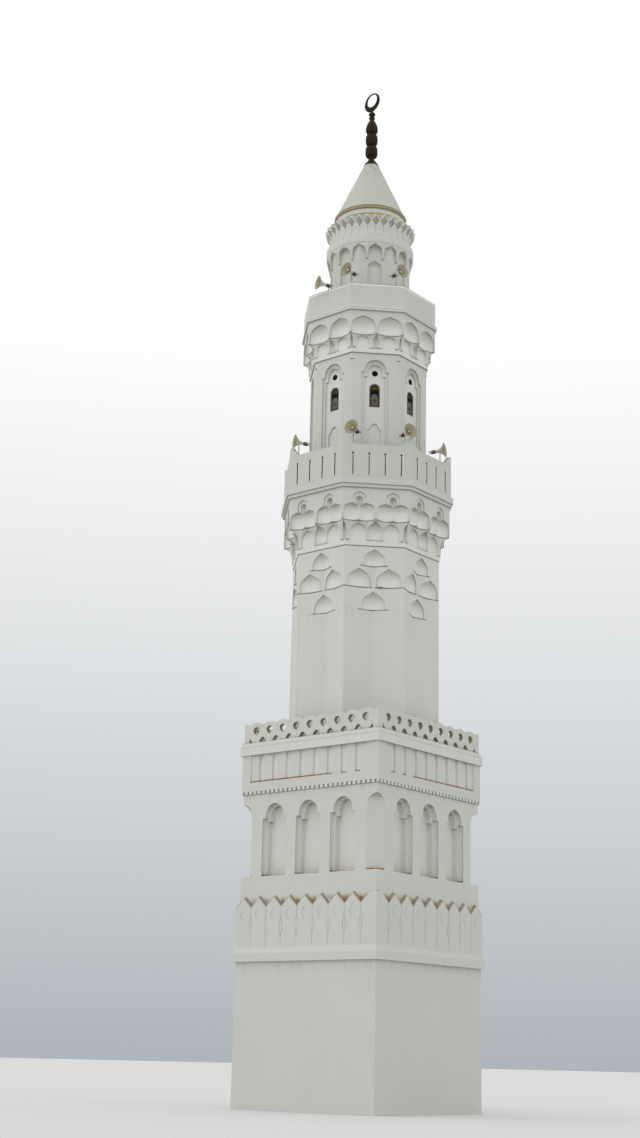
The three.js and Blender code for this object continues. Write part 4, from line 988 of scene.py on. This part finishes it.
def windows():
    """In each slit stands an arched frame with a pane, near black as painted shade. In front of the pane are
    a round-topped housing and a ring with an eye in it. The round hole over the slit has a dark disc:
    painted shade for its inside."""
    half, low, high = 0.186, 23.41, 24.29
    centre = high - half
    wall = TIER - 0.125
    angle = np.linspace(0, math.pi, 17)

    def rounded(half, low, centre):
        """An outline with a half-round head."""
        head = np.stack([half * np.cos(angle), centre + half * np.sin(angle)], -1)
        return np.concatenate([[[half, low]], head, [[-half, low]]])

    def round_piece(profile, out, height):
        """A turned part whose axis points out of the wall."""
        points, faces = lathe(profile, 32)
        return np.stack([points[:, 0], -points[:, 2] - out, points[:, 1] + height], -1), faces

    inset, thick = 0.002, 0.036
    outer = rounded(half - inset, low + inset, centre)
    inner = rounded(half - inset - thick, low + inset + 1.6 * thick, centre)
    rings = [(outer, wall), (outer, wall - 0.06), (inner, wall - 0.06), (inner, wall)]
    casing = np.concatenate([on_wall(ring, out) for ring, out in rings]), grid(4, len(outer), True, True)
    outline = rounded(half - 0.02, low + 0.02, centre)
    pane = block(outline, outline, wall - 0.05, wall - 0.058)
    front, middle = wall - 0.012, low + 0.245
    outline = rounded(0.118, low + 0.105, low + 0.385)
    housing = block(outline, outline, front, wall - 0.05)
    sill = box([-0.13, -front - 0.004, low + 0.085], [0.13, -wall + 0.05, low + 0.107])
    ring = round_piece([[0.062, 0.0], [0.086, 0.0], [0.086, 0.008], [0.080, 0.014], [0.068, 0.014],
                        [0.062, 0.008]], front - 0.002, middle)
    eye = round_piece([[0, 0.0], [0.06, 0.0], [0.06, 0.003], [0.022, 0.003], [0.016, 0.010], [0, 0.010]],
                      front - 0.001, middle)
    disc = round_piece([[0, 0.0], [0.111, 0.0], [0.111, 0.03], [0, 0.03]], 1.86, 24.675)
    parts = [("window_frames", casing, "window_frame_brown", 35), ("window_panes", pane, "dark_pane", None),
             ("window_housings", joined([housing, sill, ring]), "housing_grey", 35),
             ("window_eyes", eye, "housing_dark", 35), ("oculus_panes", disc, "dark_glass", None)]
    for name, part, look, sharp in parts:
        piece(name, *repeated(part), look, "bronze", sharp=sharp)


windows()


# Drum, roof and finial

def drum_panels():
    """Thin joints from the foot of each of the cornice's points, down the band's hollow."""
    profile = np.asarray(DRUM_PANEL)
    out, height = np.concatenate([profile + [0.004, 0], profile[::-1] - [0.02, 0]]).T
    strip = capped([np.column_stack([np.full(len(out), x), -out, height]) for x in (-0.008, 0.008)])
    # The joints are darker strips: soiling, and painted shade of grooves.
    piece("drum_joints", *repeated(strip, POINTS, math.pi / 2), "joint_dirt", "white_paint")


def roof():
    """The cone, its eave and the neck under it, as profiles turned about the axis."""
    neck = [[DRUM_INSIDE, NECK_FOOT], [1.31, NECK_FOOT], [1.31, 31.255], [1.303, 31.262], [1.303, 31.45],
            [1.308, EAVE_FOOT], [DRUM_INSIDE, EAVE_FOOT]]
    eave = [[DRUM_INSIDE, EAVE_FOOT], [1.300, EAVE_FOOT], [1.336, 31.474], [1.342, 31.49], [1.342, 31.533],
            [1.334, 31.541], [1.334, 31.549], [1.342, 31.557], [1.342, 31.605], [1.332, 31.62],
            [1.304, CONE_FOOT], [DRUM_INSIDE, CONE_FOOT]]
    slope = np.linspace([1.304, CONE_FOOT], [0.24, CONE_TOP], 12)
    cone = [[0, CONE_TOP - 0.33], [1.139, CONE_FOOT], *slope, [0, CONE_TOP]]
    piece("neck", *lathe(neck, 96), "paint_neck", "cone_paint", ["neck_ring"], 30)
    piece("eave", *lathe(eave, 96), "eave_paint", "khaki_paint", ["eave_ring"], 30)
    piece("cone", *lathe(cone, 96), "paint_cone", "cone_paint", ["cone_roof"], 30)


# The stem's profile, with heights over the cone's top
FINIAL = [[0.292, -0.10], [0.262, -0.02], [0.205, 0.06], [0.145, 0.14], [0.105, 0.225], [0.118, 0.285],
          [0.190, 0.33], [0.227, 0.43], [0.227, 0.64], [0.190, 0.74], [0.120, 0.785],
          [0.190, 0.85], [0.224, 0.945], [0.224, 1.15], [0.190, 1.24], [0.115, 1.295],
          [0.200, 1.36], [0.226, 1.44], [0.226, 1.545], [0.178, 1.72], [0.098, 1.87], [0.066, 1.93],
          [0.110, 1.965], [0.110, 2.008], [0.062, 2.06], [0.118, 2.12], [0.118, 2.185], [0.060, 2.24],
          [0.050, 2.29]]


def finial():
    """A turned stem of balls and beads, under a crescent whose section is an ellipse all the way round."""
    stem = smooth_curve(FINIAL, 4)
    stem = np.concatenate([[[0, FINIAL[0][1]]], stem, [[0, FINIAL[-1][1]]]])
    stem[:, 1] += CONE_TOP
    piece("stem", *lathe(stem, 48), "dark_bronze", "bronze", ["finial_stem"], 50)
    radius, hole, top_width, sunk = 0.384, 0.254, 0.047, 0.004
    drop = radius - hole - top_width
    angle = np.linspace(0, 2 * math.pi, 96, endpoint=False)
    inner = drop * np.sin(angle) + np.sqrt(hole ** 2 - (drop * np.cos(angle)) ** 2)
    middle, half = (radius + inner) / 2, (radius - inner) / 2
    around = np.linspace(0, 2 * math.pi, 16, endpoint=False)
    reach = middle[:, None] + half[:, None] * np.cos(around)
    depth = (0.022 + 0.35 * half)[:, None].clip(0, 0.045) * np.sin(around)
    centre = CONE_TOP + FINIAL[-1][1] + radius - sunk
    points = np.stack([reach * np.cos(angle)[:, None], depth, centre + reach * np.sin(angle)[:, None]], -1)
    points = turned(points.reshape(-1, 3), math.radians(-6))
    piece("crescent", points, grid(96, 16, True, True), "dark_bronze", "bronze", ["finial_crescent"], 60)


drum_panels()
roof()
finial()


# Loudspeakers

def horn(name, node, side, along, direction, behind, height, out, foot):
    """A flared bell on a pole: its radius grows as a power of the way from throat to mouth."""
    t = np.linspace(0, 1, 16)
    outer = np.stack([0.048 + 0.192 * t ** 2.1, -0.32 + 0.32 * t], -1)
    inner = outer[::-1][:11] + [-0.005, 0.004]
    rim = [[0.247, -0.010], [0.250, 0.0], [0.245, 0.007], [0.236, 0.004]]
    bullet = [[0.052, -0.15], [0.05, -0.10], [0.044, -0.078], [0.03, -0.065], [0, -0.06]]
    shell = np.concatenate([[[0, -0.335]], outer, rim, inner, bullet])
    bell, bell_faces = lathe(shell, 40)
    wide, deep, place = np.array([bell[face].mean(0) for face in bell_faces]).T
    reach = np.hypot(wide, deep)
    flare = np.interp(place, outer[:, 1], outer[:, 0])
    groups = ((reach < flare - 0.003) & (place > -0.16)).astype(int)
    groups[(reach < 0.05) & (place > -0.12)] = 0
    groups[(reach > 0.239) & (place > -0.009)] = 2
    driver = lathe([[0, -0.48], [0.055, -0.48], [0.068, -0.47], [0.07, -0.455], [0.07, -0.40],
                    [0.064, -0.395], [0.064, -0.385], [0.07, -0.38], [0.07, -0.345], [0.05, -0.33],
                    [0, -0.33]], 32)
    straps = [box([0.085, -0.018, -0.55], [0.097, 0.018, -0.34]),
              box([-0.097, -0.018, -0.55], [-0.085, 0.018, -0.34]),
              box([-0.097, -0.018, -0.562], [0.097, 0.018, -0.55])]
    tilt = Matrix.Rotation(math.radians(direction), 3, "Z") @ Matrix.Rotation(math.radians(85), 3, "X")
    tilt = np.array(tilt)
    seat = turned([[along, -out, 0]], math.radians(side))[0]
    shift = seat + [0, 0, height]

    def placed(points):
        return (np.asarray(points) + [0, 0, behind]) @ tilt.T + shift

    pole, pole_faces = lathe([[0, foot], [0.018, foot], [0.018, height - 0.03], [0, height - 0.03]], 16)
    pole = pole + [seat[0], seat[1], 0]
    paints = ["horn_cream", "horn_mouth", "horn_rim"]
    piece(name, placed(bell), bell_faces, paints, "horn_paint", [node], 35, groups)
    piece(name + "_driver", placed(driver[0]), driver[1], "horn_driver", "horn_paint", sharp=35)
    bracket = joined([(placed(points), faces) for points, faces in straps] + [(pole, pole_faces)])
    piece(name + "_bracket", *bracket, "bracket_steel", "horn_paint", sharp=35)


for balcony, spots, out, foot in [("lower", LOWER_HORNS, 2.754, 21.45),
                                  ("upper", UPPER_HORNS, 2.218, 27.88)]:
    for number, spot in enumerate(spots, 1):
        horn(f"{balcony}_speaker_{number}", f"{balcony}_horn_{number}", *spot, out, foot)


# Stage, light and camera

def stage():
    """A wide pale floor, a soft sun from the left, and a sky that is grey below and nearly white above."""
    floor = Finish("floor_pale")
    floor.colour((0.66, 0.66, 0.65, 1))
    floor.rough(0.9)
    ground = drawn("floor", *lathe([[0, 0], [400, 0]], 64))
    ground.data.materials.append(LOOKS["floor_pale"])
    ground.location.z = -0.002
    world = bpy.data.worlds.new("surround")
    world.use_nodes = True
    nodes, links = world.node_tree.nodes, world.node_tree.links
    kinds = ("TexCoord", "SeparateXYZ", "ValToRGB")
    place, split, ramp = (nodes.new("ShaderNode" + kind) for kind in kinds)
    low, high = ramp.color_ramp.elements
    low.color = (0.42, 0.45, 0.49, 1)
    high.color = (0.98, 0.985, 0.98, 1)
    high.position = 0.42
    back = nodes["Background"]
    links.new(place.outputs["Generated"], split.inputs[0])
    links.new(split.outputs[2], ramp.inputs[0])
    links.new(ramp.outputs[0], back.inputs["Color"])
    back.inputs["Strength"].default_value = 1.02
    bpy.context.scene.world = world
    lamp = bpy.data.lights.new("soft_light", "SUN")
    lamp.energy = 0.45
    lamp.angle = math.radians(100)
    linked("soft_light", lamp).rotation_euler = (math.radians(52), 0, math.radians(-38))
    bpy.context.scene.view_settings.view_transform = "Standard"


def camera():
    """Looks level along an azimuth, then pitches up and rolls about its own line of sight."""
    place = (34.1282, -43.9319, 1.6)
    azimuth, pitch, roll = (math.radians(angle) for angle in (129.47, 16.475, 1.34))
    ahead = np.array([math.cos(azimuth), math.sin(azimuth), math.tan(pitch)]) * math.cos(pitch)
    aside = np.array([math.sin(azimuth), -math.cos(azimuth), 0])
    over = np.cross(aside, ahead)
    right = aside * math.cos(roll) + over * math.sin(roll)
    up = over * math.cos(roll) - aside * math.sin(roll)
    data = bpy.data.cameras.new("camera")
    data.lens = 52.355
    data.sensor_width = 36
    data.clip_end = 2000
    made = linked("camera", data)
    matrix = np.eye(4)
    matrix[:3] = np.column_stack([right, up, -ahead, place])
    made.matrix_world = Matrix(matrix.tolist())
    bpy.context.scene.camera = made


stage()
camera()
bpy.context.view_layer.update()
